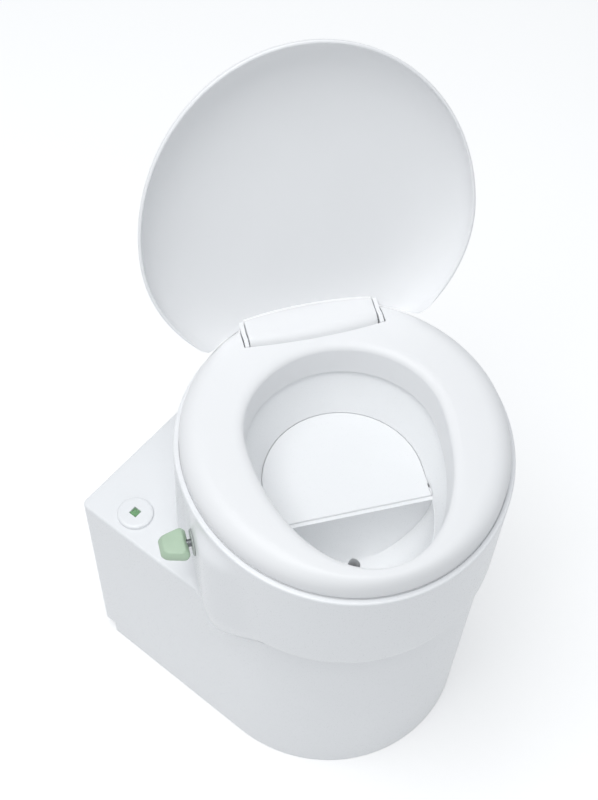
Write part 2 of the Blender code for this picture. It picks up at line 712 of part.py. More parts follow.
def make_bowl(materials):
    """The bowl moulding that hangs in the drum: flange, funnel, chute, urine bowl and drain spigot."""
    flange_half = RIM_HALF_WIDTH - RIM_LIP_WIDTH - TOUCH_GAP
    flange_front = RIM_FRONT - RIM_LIP_WIDTH - TOUCH_GAP
    rings = [egg_ring(flange_half, flange_front, flange_half, z) for z in (FLANGE_BOTTOM, RIM_HEIGHT)]
    bowl = loft("bowl", rings)
    join(bowl, loft("funnel_skin", funnel_rings(BOWL_WALL, RIM_HEIGHT - FLANGE_THICKNESS / 2)))
    join(bowl, loft("urine_skin", urine_rings(BOWL_WALL, SKIN_OVERLAP)))
    heights = (CHUTE_BOTTOM, FLAP_LEVEL + 2 * SKIN_OVERLAP)
    join(bowl, loft("chute_skin", [chute_ring(BOWL_WALL, z) for z in heights]))
    spigot_end = DRAIN_HEIGHT - BOWL_WALL - SPIGOT_LENGTH
    outside = DRAIN_BORE + SPIGOT_WALL
    profile = [(outside, spigot_end), (outside, DRAIN_HEIGHT)]
    drain = (0, -DRAIN_SETBACK, 0)
    join(bowl, turned("spigot", profile, drain, ROUND_SIDES))
    cut(bowl, loft("funnel_hollow", funnel_rings(0, RIM_HEIGHT + CUT_OVERRUN)))
    cut(bowl, loft("urine_hollow", urine_rings(0, SKIN_OVERLAP)))
    heights = (CHUTE_BOTTOM - CUT_OVERRUN, FLAP_LEVEL + 2 * SKIN_OVERLAP)
    cut(bowl, loft("chute_hollow", [chute_ring(0, z) for z in heights]))
    profile = [(DRAIN_BORE, spigot_end - CUT_OVERRUN), (DRAIN_BORE, DRAIN_HEIGHT + CUT_OVERRUN)]
    cut(bowl, turned("drain_bore", profile, drain, ROUND_SIDES))
    reach = CHUTE_HALF_WIDTH + BOWL_WALL + CUT_OVERRUN
    hole = SHAFT_RADIUS + SHAFT_FIT + BUSH_WALL + TOUCH_GAP
    profile = [(hole, -reach), (hole, reach)]
    cut(bowl, turned("shaft_hole", profile, FLAP_AXIS, ROUND_SIDES, None, "X"))
    bowl.data.materials.append(materials["bowl"])
    smooth(bowl)
    return bowl


def make_flap(materials):
    """The flap that closes the chute, with the barrel along its straight front edge."""
    half = CHUTE_HALF_WIDTH - FLAP_EDGE_GAP
    rings = []
    for height in (FLAP_LEVEL - FLAP_THICKNESS, FLAP_LEVEL):
        rings.append(chute_ring(-FLAP_EDGE_GAP, height, FLAP_AXIS_SETBACK + FLAP_EDGE_GAP))
    flap = loft("flap", rings)
    barrel_half = half - BUSH_FLANGE
    profile = [(BARREL_RADIUS, -barrel_half), (BARREL_RADIUS, barrel_half)]
    join(flap, turned("barrel", profile, FLAP_AXIS, ROUND_SIDES, None, "X"))
    bore = SHAFT_RADIUS + SHAFT_FIT
    profile = [(bore, -half - CUT_OVERRUN), (bore, half + CUT_OVERRUN)]
    cut(flap, turned("barrel_bore", profile, FLAP_AXIS, ROUND_SIDES, None, "X"))
    for side in (-1, 1):
        inner = side * barrel_half
        outer = side * (half + CUT_OVERRUN)
        low = (min(inner, outer), FLAP_AXIS.y - BUSH_FLANGE_RADIUS, FLAP_AXIS.z - BUSH_FLANGE_RADIUS)
        high = (max(inner, outer), FLAP_AXIS.y + BUSH_FLANGE_RADIUS + FLAP_EDGE_GAP, RIM_HEIGHT)
        cut(flap, block("bush_space", low, high))
    flap.data.materials.append(materials["bowl"])
    smooth(flap)
    return flap


def make_shaft(materials):
    """The shaft that ties the knob to the flap."""
    start = -PAD_FACE - ESCUTCHEON_THICKNESS - KNOB_GAP - KNOB_SOCKET + TOUCH_GAP
    end = CHUTE_HALF_WIDTH + BOWL_WALL
    profile = [(SHAFT_RADIUS, start), (SHAFT_RADIUS, end)]
    shaft = turned("flap_shaft", profile, FLAP_AXIS, ROUND_SIDES, materials["steel"], "X")
    smooth(shaft)
    return shaft


def make_bush(name, side, materials):
    """A bearing bush in the chute's side wall, its flange inside."""
    bore = SHAFT_RADIUS + SHAFT_FIT
    start = CHUTE_HALF_WIDTH - TOUCH_GAP - BUSH_FLANGE
    step = CHUTE_HALF_WIDTH - TOUCH_GAP
    end = CHUTE_HALF_WIDTH + BOWL_WALL
    neck = bore + BUSH_WALL
    profile = [(BUSH_FLANGE_RADIUS - BUSH_WALL, start), (BUSH_FLANGE_RADIUS - BUSH_WALL, step)]
    profile += [(neck, step), (neck, end)]
    bush = turned(name, [(r, side * x) for r, x in profile], FLAP_AXIS, ROUND_SIDES, materials["trim"], "X")
    hole = [(bore, side * (start - CUT_OVERRUN)), (bore, side * (end + CUT_OVERRUN))]
    cut(bush, turned("bush_bore", hole, FLAP_AXIS, ROUND_SIDES, None, "X"))
    smooth(bush)
    return bush


def make_escutcheon(materials):
    """The thin round plate that carries the shaft in the knob pad."""
    face = PAD_FACE + TOUCH_GAP
    profile = [
        (ESCUTCHEON_RADIUS - ESCUTCHEON_THICKNESS / 2, -face - ESCUTCHEON_THICKNESS),
        (ESCUTCHEON_RADIUS, -face - ESCUTCHEON_THICKNESS / 2),
        (ESCUTCHEON_RADIUS, -face),
        (ESCUTCHEON_NECK / 2, -face),
        (ESCUTCHEON_NECK / 2, -RIM_HALF_WIDTH + 3 * BODY_WALL),
    ]
    plate = turned("escutcheon", profile, FLAP_AXIS, DIAL_SIDES, materials["dark"], "X")
    bore = SHAFT_RADIUS + SHAFT_FIT
    hole = [(bore, -face - ESCUTCHEON_THICKNESS - CUT_OVERRUN), (bore, -PAD_ROOT)]
    cut(plate, turned("plate_bore", hole, FLAP_AXIS, ROUND_SIDES, None, "X"))
    smooth(plate)
    return plate


def knob_outline(inset):
    """The knob's wing outline in plan, drawn in by inset: wide at the shaft and narrow at its tip."""
    root = KNOB_ROOT_HALF_WIDTH - inset
    tip = KNOB_TIP_HALF_WIDTH - inset / 2
    run = KNOB_CORNER_RUN
    length = KNOB_LENGTH - inset
    return [
        (inset, root - run),
        (inset + run, root),
        (length - run, tip + run),
        (length, tip),
        (length, -tip),
        (length - run, -tip - run),
        (inset + run, -root),
        (inset, run - root),
    ]


def make_knob(materials):
    """The wing knob, a flat tapered grip with bevelled faces and a socket for the shaft."""
    start = PAD_FACE + ESCUTCHEON_THICKNESS + KNOB_GAP
    half = KNOB_THICKNESS / 2
    rings = []
    edge = half - KNOB_BEVEL
    for inset, height in ((KNOB_BEVEL, -half), (0, -edge), (0, edge), (KNOB_BEVEL, half)):
        rings.append(
            [Vector((-start - x, FLAP_AXIS.y + y, FLAP_AXIS.z + height)) for x, y in knob_outline(inset)]
        )
    knob = loft("knob", rings)
    bore = SHAFT_RADIUS + SHAFT_FIT
    socket = [(bore, -start - KNOB_SOCKET), (bore, -start + CUT_OVERRUN)]
    cut(knob, turned("knob_socket", socket, FLAP_AXIS, ROUND_SIDES, None, "X"))
    knob.data.materials.append(materials["knob"])
    bevel = knob.modifiers.new("Bevel", "BEVEL")
    bevel.width = KNOB_BEVEL / 4
    bevel.segments = 2
    bevel.limit_method = "ANGLE"
    bevel.angle_limit = math.radians(25)
    smooth(knob)
    return knob


def seat_section(angle):
    """One closed section of the hollow seat ring, from its outer skirt over the crown and back."""
    outer = Vector(egg_point(SEAT_HALF_WIDTH, SEAT_FRONT, SEAT_HALF_WIDTH, angle))
    inner = Vector(egg_point(HOLE_HALF_WIDTH, HOLE_FRONT, HOLE_REAR, angle))
    across = outer - inner
    inward = -across.normalized()
    run = min(SEAT_SHOULDER_RUN, across.length / 2)
    lip = min(SEAT_INNER_RUN, across.length / 4)
    collar = RIM_HEIGHT - SEAT_COLLAR_DROP
    shoulder = SEAT_BASE + SEAT_SKIRT
    rise = SEAT_CROWN - shoulder
    points = [(outer, SEAT_BASE), (outer, shoulder)]
    for share in SEAT_SHOULDER_SHARES:
        turn = math.pi / 2 * share
        points.append((outer + inward * run * (1 - math.cos(turn)), shoulder + rise * math.sin(turn)))
    for share in (0.0, 0.5, 1.0):
        turn = math.pi / 2 * share
        place = inner - inward * lip * (1 - math.sin(turn))
        points.append((place, SEAT_CROWN - SEAT_INNER_DROP * (1 - math.cos(turn))))
    low = inner + inward * HOLE_TAPER
    points += [(low, collar), (low - inward * SEAT_WALL, collar)]
    points.append((inner - inward * SEAT_WALL, SEAT_CROWN - SEAT_INNER_DROP - SEAT_WALL))
    points.append((inner - inward * (SEAT_WALL + lip / 2), SEAT_CROWN - SEAT_WALL))
    points.append((outer + inward * run, SEAT_CROWN - SEAT_WALL))
    points.append((outer + inward * (SEAT_WALL + run / 4), shoulder + rise / 2))
    points.append((outer + inward * SEAT_WALL, shoulder))
    points.append((outer + inward * SEAT_WALL, SEAT_BASE))
    return [Vector((p.x, p.y, z)) for p, z in points]


def bar_rear(x):
    """How far back the bowed rear face of the hinge bar lies at a place along it."""
    return BAR_REAR - BAR_BOW * (x / BAR_HALF_LENGTH) ** 2


def bar_front(x):
    """How far back the bowed front of the hinge bar lies at a place along it."""
    return BAR_FRONT + BAR_FRONT_BOW * (x / BAR_HALF_LENGTH) ** 2


def bar_ring(x):
    """A section of the hinge bar, rounded in front and flat on top."""
    foot = SEAT_BASE + BAR_FLOOR + TOUCH_GAP
    ring = [Vector((x, bar_front(x), foot))]
    for step in range(BAR_SIDES + 1):
        turn = math.pi / 2 * step / BAR_SIDES
        y = bar_front(x) + BAR_RADIUS * (1 - math.cos(turn))
        ring.append(Vector((x, y, BAR_TOP - BAR_RADIUS * (1 - math.sin(turn)))))
    rear = bar_rear(x)
    ring += [Vector((x, rear - BAR_EDGE_RUN, BAR_TOP)), Vector((x, rear, BAR_TOP - BAR_EDGE_RUN))]
    ring.append(Vector((x, rear, foot)))
    return ring


def make_bar(materials):
    """The hinge bar that closes the seat's notch and holds the lid's pins in its ends."""
    bar = loft("hinge_bar", [bar_ring(x) for x in bar_places()[1:-1]])
    bore = PIN_RADIUS + PIN_FIT
    for side in (-1, 1):
        bottom = BAR_HALF_LENGTH - PIN_SEAT_DEPTH
        profile = [(bore, side * bottom), (bore, side * (BAR_HALF_LENGTH + CUT_OVERRUN))]
        cut(bar, turned("pin_seat", profile, LID_AXIS, ROUND_SIDES, None, "X"))
    bar.data.materials.append(materials["seat"])
    smooth(bar)
    return bar


def seat_knuckle(side):
    """The round knuckle behind the bar that turns on the seat's own pin."""
    centre = (0, SEAT_AXIS.y, SEAT_AXIS.z)
    start, end = side * KNUCKLE_INNER, side * (KNUCKLE_INNER + KNUCKLE_LENGTH)
    profile = [(KNUCKLE_RADIUS, start), (KNUCKLE_RADIUS, end)]
    knuckle = turned("knuckle", profile, centre, ROUND_SIDES, None, "X")
    low = (min(start, end), BAR_REAR - 2 * BAR_BOW, SEAT_BASE + TOUCH_GAP)
    high = (max(start, end), SEAT_AXIS.y, SEAT_BASE + BAR_FLOOR - TOUCH_GAP)
    join(knuckle, block("neck", low, high))
    return knuckle


def seat_envelope(inset):
    """The seat's outside without its hole, drawn in by inset."""
    rings = []
    shoulder = SEAT_BASE + SEAT_SKIRT
    rise = SEAT_CROWN - shoulder - inset
    profile = [(0, SEAT_BASE), (0, shoulder)]
    for share in SEAT_SHOULDER_SHARES:
        turn = math.pi / 2 * share
        profile.append((SEAT_SHOULDER_RUN * (1 - math.cos(turn)), shoulder + rise * math.sin(turn)))
    for inward, height in profile:
        drawn = inward + inset
        rings.append(egg_ring(SEAT_HALF_WIDTH - drawn, SEAT_FRONT - drawn, SEAT_HALF_WIDTH - drawn, height))
    return loft("envelope", rings)


def bar_pocket():
    """The solid part of the seat round the bar: the notch's floor and front wall, and the lugs."""
    reach = ear_slot() + LUG_LENGTH
    low = (-reach, BAR_FRONT - BAR_GAP - SEAT_WALL, SEAT_BASE)
    pocket = block("pocket", low, (reach, BAR_REAR, SEAT_CROWN + CUT_OVERRUN))
    combine(pocket, seat_envelope(ENVELOPE_INSET), "INTERSECT")
    return pocket


def ear_slot():
    """How far from the middle the slots for the lid's ears end."""
    return BAR_HALF_LENGTH + EAR_THICKNESS + 2 * EAR_GAP


def boss_solid(angle):
    """A boss under the seat's crown that carries a buffer."""
    x, y = buffer_place(angle)
    radius = BUFFER_RADIUS + BUFFER_BOSS_WALL
    profile = [(radius, SEAT_BASE), (radius, SEAT_CROWN - SEAT_WALL / 2)]
    return turned("boss", profile, (x, y, 0), ROUND_SIDES)


def buffer_place(angle):
    """Where a buffer stands, halfway across the seat ring."""
    outer = Vector(egg_point(SEAT_HALF_WIDTH, SEAT_FRONT, SEAT_HALF_WIDTH, angle))
    inner = Vector(egg_point(HOLE_HALF_WIDTH, HOLE_FRONT, HOLE_REAR, angle))
    middle = inner.lerp(outer, 0.5)
    return middle.x, middle.y


def make_seat(materials):
    """The seat ring with the notch for its hinge bar, its lugs for the lid's pins and its knuckles."""
    seat = hoop("seat_ring", [seat_section(2 * math.pi * side / EGG_SIDES) for side in range(EGG_SIDES)])
    for angle in BUFFER_ANGLES:
        join(seat, boss_solid(angle))
    join(seat, bar_pocket())
    slot = ear_slot()
    rings = []
    for z in (SEAT_BASE - CUT_OVERRUN, SEAT_CROWN + CUT_OVERRUN):
        ring = [Vector((x, bar_rear(x) - BAR_WALL / 2, z)) for x in bar_places()]
        ring += [Vector((slot, 2 * BAR_REAR, z)), Vector((-slot, 2 * BAR_REAR, z))]
        rings.append(ring)
    cut(seat, loft("back_cut", rings))
    rings = []
    for z in (SEAT_BASE + BAR_FLOOR, SEAT_CROWN + CUT_OVERRUN):
        ring = [Vector((x, bar_front(x) - BAR_GAP, z)) for x in bar_places()]
        ring += [Vector((slot, 2 * BAR_REAR, z)), Vector((-slot, 2 * BAR_REAR, z))]
        rings.append(ring)
    cut(seat, loft("notch", rings))
    bore = PIN_RADIUS + PIN_FIT
    for side in (-1, 1):
        join(seat, seat_knuckle(side))
        profile = [(bore, side * (slot - CUT_OVERRUN)), (bore, side * (slot + LUG_LENGTH + CUT_OVERRUN))]
        cut(seat, turned("pin_bore", profile, LID_AXIS, ROUND_SIDES, None, "X"))
    bore = HINGE_PIN_RADIUS + PIN_FIT
    reach = KNUCKLE_INNER + KNUCKLE_LENGTH + CUT_OVERRUN
    for side in (-1, 1):
        profile = [(bore, side * (KNUCKLE_INNER - CUT_OVERRUN)), (bore, side * reach)]
        cut(seat, turned("knuckle_bore", profile, SEAT_AXIS, ROUND_SIDES, None, "X"))
    seat.data.materials.append(materials["seat"])
    smooth(seat)
    return seat


def bar_places():
    """Places along the bar, and a little past its ends, where its bow is followed."""
    steps = 2 * CORNER_SIDES
    inner = [BAR_HALF_LENGTH * (2 * step / steps - 1) for step in range(steps + 1)]
    return [-ear_slot()] + inner + [ear_slot()]


def make_buffers(materials):
    """Four rubber buffers between the seat and the bowl's flange."""
    buffers = []
    for number, angle in enumerate(BUFFER_ANGLES):
        profile = [(BUFFER_RADIUS, RIM_HEIGHT + TOUCH_GAP), (BUFFER_RADIUS, SEAT_BASE - TOUCH_GAP)]
        x, y = buffer_place(angle)
        buffer = turned(f"seat_buffer_{number + 1}", profile, (x, y, 0), ROUND_SIDES, materials["rubber"])
        smooth(buffer)
        buffers.append(buffer)
    return buffers


def make_pins(materials):
    """The two pins that the lid turns on."""
    pins = []
    outer = ear_slot() + LUG_LENGTH
    for name, side in (("lid_pin_right", -1), ("lid_pin_left", 1)):
        start = side * (BAR_HALF_LENGTH - PIN_SEAT_DEPTH + TOUCH_GAP)
        profile = [(PIN_RADIUS, start), (PIN_RADIUS, side * outer)]
        pin = turned(name, profile, LID_AXIS, ROUND_SIDES, materials["steel"], "X")
        smooth(pin)
        pins.append(pin)
    return pins


def make_seat_hinges(materials):
    """Bracket and pin on each side of the seat's knuckles."""
    pieces = []
    start = KNUCKLE_INNER + KNUCKLE_LENGTH + RUNNING_GAP
    end = start + KNUCKLE_LENGTH
    for word, side in (("right", -1), ("left", 1)):
        centre = (0, SEAT_AXIS.y, SEAT_AXIS.z)
        profile = [(KNUCKLE_RADIUS, side * start), (KNUCKLE_RADIUS, side * end)]
        bracket = turned(f"seat_bracket_{word}", profile, centre, ROUND_SIDES, None, "X")
        low = (min(side * start, side * end), SEAT_AXIS.y - KNUCKLE_RADIUS, RIM_HEIGHT + TOUCH_GAP)
        high = (max(side * start, side * end), SEAT_AXIS.y + KNUCKLE_RADIUS, SEAT_AXIS.z)
        join(bracket, block("foot", low, high))
        bore = HINGE_PIN_RADIUS + PIN_FIT
        hole = [(bore, side * (start - CUT_OVERRUN)), (bore, side * (end + CUT_OVERRUN))]
        cut(bracket, turned("bracket_bore", hole, centre, ROUND_SIDES, None, "X"))
        bracket.data.materials.append(materials["trim"])
        profile = [(HINGE_PIN_RADIUS, side * KNUCKLE_INNER), (HINGE_PIN_RADIUS, side * end)]
        pin = turned(f"seat_pin_{word}", profile, centre, ROUND_SIDES, materials["steel"], "X")
        for piece in (bracket, pin):
            smooth(piece)
            pieces.append(piece)
    return pieces


def lid_skin(name, inset, start):
    """The lid's domed skin as a solid, drawn in by inset and run down to the height start."""
    half = LID_HALF_WIDTH - inset
    front = LID_FRONT + LID_CENTRE_SETBACK - inset
    rear = LID_REAR_REACH - inset
    edge = LID_AXIS.z - LID_EDGE_DROP
    rings = []
    if start < edge:
        rings.append(egg_ring(half, front, rear, start, -LID_CENTRE_SETBACK))
    for share in LID_RING_SHARES:
        turn = math.pi / 2 * share
        size = math.cos(turn) ** LID_DOME_SHARE
        height = edge + (LID_DOME - inset) * math.sin(turn)
        rings.append(egg_ring(half * size, front * size, rear * size, height, -LID_CENTRE_SETBACK))
    return loft(name, rings)


def lid_back_cut():
    """The cut along the lid's rear: clear of the seat beside the ears, and round the bar between them."""
    points = []
    wide = 2 * LID_HALF_WIDTH
    steps = 2 * CORNER_SIDES
    reach = BAR_HALF_LENGTH + EAR_GAP / 2
    points += [(-wide, LID_BACK_CUT), (-LID_BACK_CUT_HALF, LID_BACK_CUT)]
    points += [(-LID_EAR_CUT_HALF, LID_EAR_CUT), (-reach, LID_EAR_CUT)]
    for step in range(steps + 1):
        across = 2 * step / steps - 1
        points.append((reach * across, LID_NOTCH_CUT - LID_NOTCH_BOW * across**2))
    points += [(reach, LID_EAR_CUT), (LID_EAR_CUT_HALF, LID_EAR_CUT)]
    points += [(LID_BACK_CUT_HALF, LID_BACK_CUT), (wide, LID_BACK_CUT)]
    rings = []
    for height in (0, 2 * LID_AXIS.z):
        ring = [Vector((x, LID_AXIS.y - ahead, height)) for x, ahead in points]
        ring += [Vector((wide, 2 * LID_AXIS.y, height)), Vector((-wide, 2 * LID_AXIS.y, height))]
        rings.append(ring)
    return loft("lid_back_cut", rings)


def lid_ear(side):
    """One of the lid's ears: a hub round the pin with a toe, and a web that runs up into the lid."""
    inner = side * (BAR_HALF_LENGTH + EAR_GAP)
    outer = side * (BAR_HALF_LENGTH + EAR_GAP + EAR_THICKNESS)
    rings = [[LID_AXIS + Vector((x, y, z)) for y, z in EAR_OUTLINE] for x in (inner, outer)]
    ear = loft("ear", rings)
    profile = [(EAR_RADIUS, inner), (EAR_RADIUS, outer)]
    join(ear, turned("hub", profile, LID_AXIS, ROUND_SIDES, None, "X"))
    bore = PIN_RADIUS + PIN_FIT
    profile = [(bore, inner - side * CUT_OVERRUN), (bore, outer + side * CUT_OVERRUN)]
    cut(ear, turned("ear_bore", profile, LID_AXIS, ROUND_SIDES, None, "X"))
    return ear


def shave_lid(lid):
    """Cuts the seat's shape, at steps of the lid's swing, out of the lid's rear corners."""
    for share in SWING_SHARES:
        swing = Matrix.Rotation(LID_REST_ANGLE * share, 4, "X")
        swept = seat_envelope(-SWING_GAP)
        swept.data.transform(Matrix.Translation(LID_AXIS) @ swing @ Matrix.Translation(-LID_AXIS))
        cut(lid, swept)


def make_lid(materials):
    """The domed lid, cut off behind the seat, with the two ears that turn on the pins."""
    lid = lid_skin("lid", 0, LID_AXIS.z)
    cut(lid, lid_skin("lid_hollow", LID_WALL, LID_AXIS.z - LID_EDGE_DROP - CUT_OVERRUN))
    cut(lid, lid_back_cut())
    shave_lid(lid)
    for side in (-1, 1):
        join(lid, lid_ear(side))
    lid.data.materials.append(materials["seat"])
    smooth(lid)
    return lid


def make_dial(materials):
    """The round cap on the shelf with its square window, and the lens under it."""
    base = SHELF_HEIGHT + TOUCH_GAP
    top = base + DIAL_HEIGHT
    centre = (DIAL_X, DIAL_Y, 0)
    profile = [
        (DIAL_NECK_RADIUS, SHELF_HEIGHT - DIAL_NECK_LENGTH),
        (DIAL_NECK_RADIUS, base),
        (DIAL_RADIUS, base),
        (DIAL_RADIUS, top - DIAL_EDGE_RADIUS),
        (DIAL_RADIUS - DIAL_EDGE_RADIUS / 2, top - DIAL_EDGE_RADIUS / 4),
        (DIAL_RADIUS - 2 * DIAL_EDGE_RADIUS, top),
    ]
    cap = turned("dial_cap", profile, centre, DIAL_SIDES, materials["shell"])
    crown = base + DIAL_HEIGHT / 3
    bore = [(DIAL_BORE, SHELF_HEIGHT - DIAL_NECK_LENGTH - CUT_OVERRUN), (DIAL_BORE, crown)]
    cut(cap, turned("cap_bore", bore, centre, DIAL_SIDES))
    half = WINDOW_SIDE / 2
    low = (DIAL_X - half, DIAL_Y - half, base)
    high = (DIAL_X + half, DIAL_Y + half, top + CUT_OVERRUN)
    cut(cap, block("window", low, high))
    lens_top = crown - TOUCH_GAP
    profile = [(DIAL_BORE - TOUCH_GAP, lens_top - LENS_THICKNESS), (DIAL_BORE - TOUCH_GAP, lens_top)]
    lens = turned("dial_lens", profile, centre, DIAL_SIDES, materials["lens"])
    smooth(cap)
    smooth(lens)
    return cap, lens


def make_indicator(materials):
    """The collar on the tank, the stem with its green flag, and the float below."""
    centre = (DIAL_X, DIAL_Y, 0)
    base = TANK_TOP + TOUCH_GAP
    tube_top = base + COLLAR_TUBE_HEIGHT
    plug = FLAG_RADIUS + BUFFER_BOSS_WALL
    profile = [
        (plug, base - COLLAR_PLUG),
        (plug, base),
        (COLLAR_RADIUS, base),
        (COLLAR_RADIUS, base + COLLAR_FLANGE),
        (STOP_RADIUS, base + COLLAR_FLANGE),
        (STOP_RADIUS, tube_top),
    ]
    collar = turned("indicator_collar", profile, centre, DIAL_SIDES, materials["trim"])
    bore = STEM_RADIUS + TOUCH_GAP
    hole = [(bore, base - COLLAR_PLUG - CUT_OVERRUN), (bore, tube_top + CUT_OVERRUN)]
    cut(collar, turned("collar_bore", hole, centre, ROUND_SIDES))
    flag_top = SHELF_HEIGHT - FLAG_DROP
    stop = tube_top + TOUCH_GAP
    foot = TANK_TOP - FLOAT_DROP
    profile = [
        (STEM_RADIUS, foot),
        (STEM_RADIUS, stop),
        (STOP_RADIUS, stop),
        (STOP_RADIUS, stop + STOP_THICKNESS),
        (STEM_RADIUS, stop + STOP_THICKNESS),
        (STEM_RADIUS, flag_top - FLAG_THICKNESS),
        (FLAG_RADIUS, flag_top - FLAG_THICKNESS),
        (FLAG_RADIUS, flag_top),
    ]
    stem = turned("indicator_stem", profile, centre, ROUND_SIDES, materials["flag"])
    start = foot - TOUCH_GAP
    floats = turned(
        "indicator_float",
        [(FLOAT_RADIUS, start - STOP_THICKNESS), (FLOAT_RADIUS, start + FLOAT_HEIGHT)],
        centre,
        ROUND_SIDES,
        materials["tank"],
    )
    hole = [(STEM_RADIUS + TOUCH_GAP, start), (STEM_RADIUS + TOUCH_GAP, start + FLOAT_HEIGHT + CUT_OVERRUN)]
    cut(floats, turned("float_bore", hole, centre, ROUND_SIDES))
    for piece in (collar, stem, floats):
        smooth(piece)
    return collar, stem, floats


def pan_ring(inset, height):
    """The base pan's outline inside the housing's wall."""
    grown = BODY_WALL + PAN_GAP + inset
    return body_ring(grown, height, NOTCH_DEPTH + grown)


def make_pan(materials):
    """The base pan: a floor with a raised lip and a ring that centres the bin."""
    pan = loft("base_pan", [pan_ring(0, z) for z in (0, PAN_LIP)])
    heights = (PAN_THICKNESS, PAN_LIP + CUT_OVERRUN)
    cut(pan, loft("pan_hollow", [pan_ring(PAN_THICKNESS, z) for z in heights]))
    inner = BIN_BASE_RADIUS + TOUCH_GAP + PAN_GAP
    outer = inner + PAN_THICKNESS
    centre = (0, BIN_CENTRE_Y, 0)
    top = PAN_THICKNESS + BIN_RING_HEIGHT
    ring = turned("ring", [(outer, PAN_THICKNESS / 2), (outer, top)], centre, BIN_SIDES)
    cut(ring, turned("ring_bore", [(inner, 0), (inner, top + CUT_OVERRUN)], centre, BIN_SIDES))
    join(pan, ring)
    pan.data.materials.append(materials["trim"])
    smooth(pan)
    return pan


def make_bin(materials):
    """The tapered bin for solids with its turned-out rim."""
    base = PAN_THICKNESS + TOUCH_GAP
    top = SHELF_HEIGHT - BIN_HEADROOM
    centre = (0, BIN_CENTRE_Y, 0)
    profile = [
        (BIN_BASE_RADIUS, base),
        (BIN_TOP_RADIUS, top - BIN_RIM_HEIGHT),
        (BIN_TOP_RADIUS + BIN_RIM_WIDTH, top - BIN_RIM_HEIGHT),
        (BIN_TOP_RADIUS + BIN_RIM_WIDTH, top),
    ]
    body = turned("solids_bin", profile, centre, BIN_SIDES)
    inside = [
        (BIN_BASE_RADIUS - BIN_WALL, base + BIN_WALL),
        (BIN_TOP_RADIUS - BIN_WALL, top - BIN_RIM_HEIGHT),
        (BIN_TOP_RADIUS - BIN_WALL, top + CUT_OVERRUN),
    ]
    cut(body, turned("bin_hollow", inside, centre, BIN_SIDES))
    body.data.materials.append(materials["bin"])
    smooth(body)
    return body


def tank_ring(inset, height, drawn=0.0):
    """The tank's rounded rectangle, drawn in by inset."""
    corner = max(TANK_CORNER_RADIUS - inset - drawn, TOUCH_GAP)
    left, right = TANK_LEFT + inset + drawn, TANK_RIGHT - inset - drawn
    front, rear = TANK_FRONT + inset + drawn, TANK_REAR - inset - drawn
    centres = ((right, rear, 0), (left, rear, 1), (left, front, 2), (right, front, 3))
    ring = []
    for x, y, quarter in centres:
        middle_x = x - corner if x == right else x + corner
        middle_y = y - corner if y == rear else y + corner
        for step in range(CORNER_SIDES + 1):
            angle = math.pi / 2 * (quarter + step / CORNER_SIDES)
            point = (middle_x + corner * math.cos(angle), middle_y + corner * math.sin(angle), height)
            ring.append(Vector(point))
    return ring


def make_tank(materials):
    """The urine tank, a rounded can with an inlet hole and a hole for the indicator."""
    edge = TANK_EDGE_RADIUS
    rings = [tank_ring(0, TANK_BASE, edge), tank_ring(0, TANK_BASE + edge)]
    rings += [tank_ring(0, TANK_TOP - edge), tank_ring(0, TANK_TOP, edge)]
    tank = loft("urine_tank", rings)
    rings = [tank_ring(TANK_WALL, TANK_BASE + TANK_WALL, edge), tank_ring(TANK_WALL, TANK_BASE + edge)]
    rings += [tank_ring(TANK_WALL, TANK_TOP - edge), tank_ring(TANK_WALL, TANK_TOP - TANK_WALL, edge)]
    cut(tank, loft("tank_hollow", rings))
    holes = ((DIAL_X, DIAL_Y, FLAG_RADIUS + BUFFER_BOSS_WALL), (INLET_X, INLET_Y, INLET_BORE + INLET_WALL))
    for x, y, radius in holes:
        grown = radius + TANK_HOLE_FIT
        profile = [(grown, TANK_TOP - TANK_WALL - CUT_OVERRUN), (grown, TANK_TOP + CUT_OVERRUN)]
        cut(tank, turned("tank_hole", profile, (x, y, 0), DIAL_SIDES))
    tank.data.materials.append(materials["tank"])
    smooth(tank)
    return tank


def make_inlet(materials):
    """The funnel collar in the tank's inlet that the drain pipe ends over."""
    base = TANK_TOP + TOUCH_GAP
    outer = INLET_BORE + INLET_WALL
    centre = (INLET_X, INLET_Y, 0)
    profile = [
        (outer, base - INLET_NECK),
        (outer, base),
        (outer + INLET_FLANGE, base),
        (outer + INLET_FLANGE, base + INLET_WALL),
        (outer, base + INLET_WALL),
        (outer, base + INLET_HEIGHT),
    ]
    inlet = turned("tank_inlet", profile, centre, DIAL_SIDES)
    inside = [
        (INLET_BORE / 2, base - INLET_NECK - CUT_OVERRUN),
        (INLET_BORE / 2, base - INLET_NECK + INLET_WALL),
        (INLET_BORE, base),
        (INLET_BORE, base + INLET_HEIGHT + CUT_OVERRUN),
    ]
    cut(inlet, turned("inlet_bore", inside, centre, DIAL_SIDES))
    inlet.data.materials.append(materials["trim"])
    smooth(inlet)
    return inlet


def bend(points, radius):
    """A route with each inner corner rounded, as a list of points."""
    route = [points[0]]
    for before, corner, after in zip(points, points[1:], points[2:]):
        start = corner + (before - corner).normalized() * min(radius, (before - corner).length / 2)
        end = corner + (after - corner).normalized() * min(radius, (after - corner).length / 2)
        for step in range(PIPE_STEPS + 1):
            share = step / PIPE_STEPS
            route.append(start.lerp(corner, share).lerp(corner.lerp(end, share), share))
    route.append(points[-1])
    return route


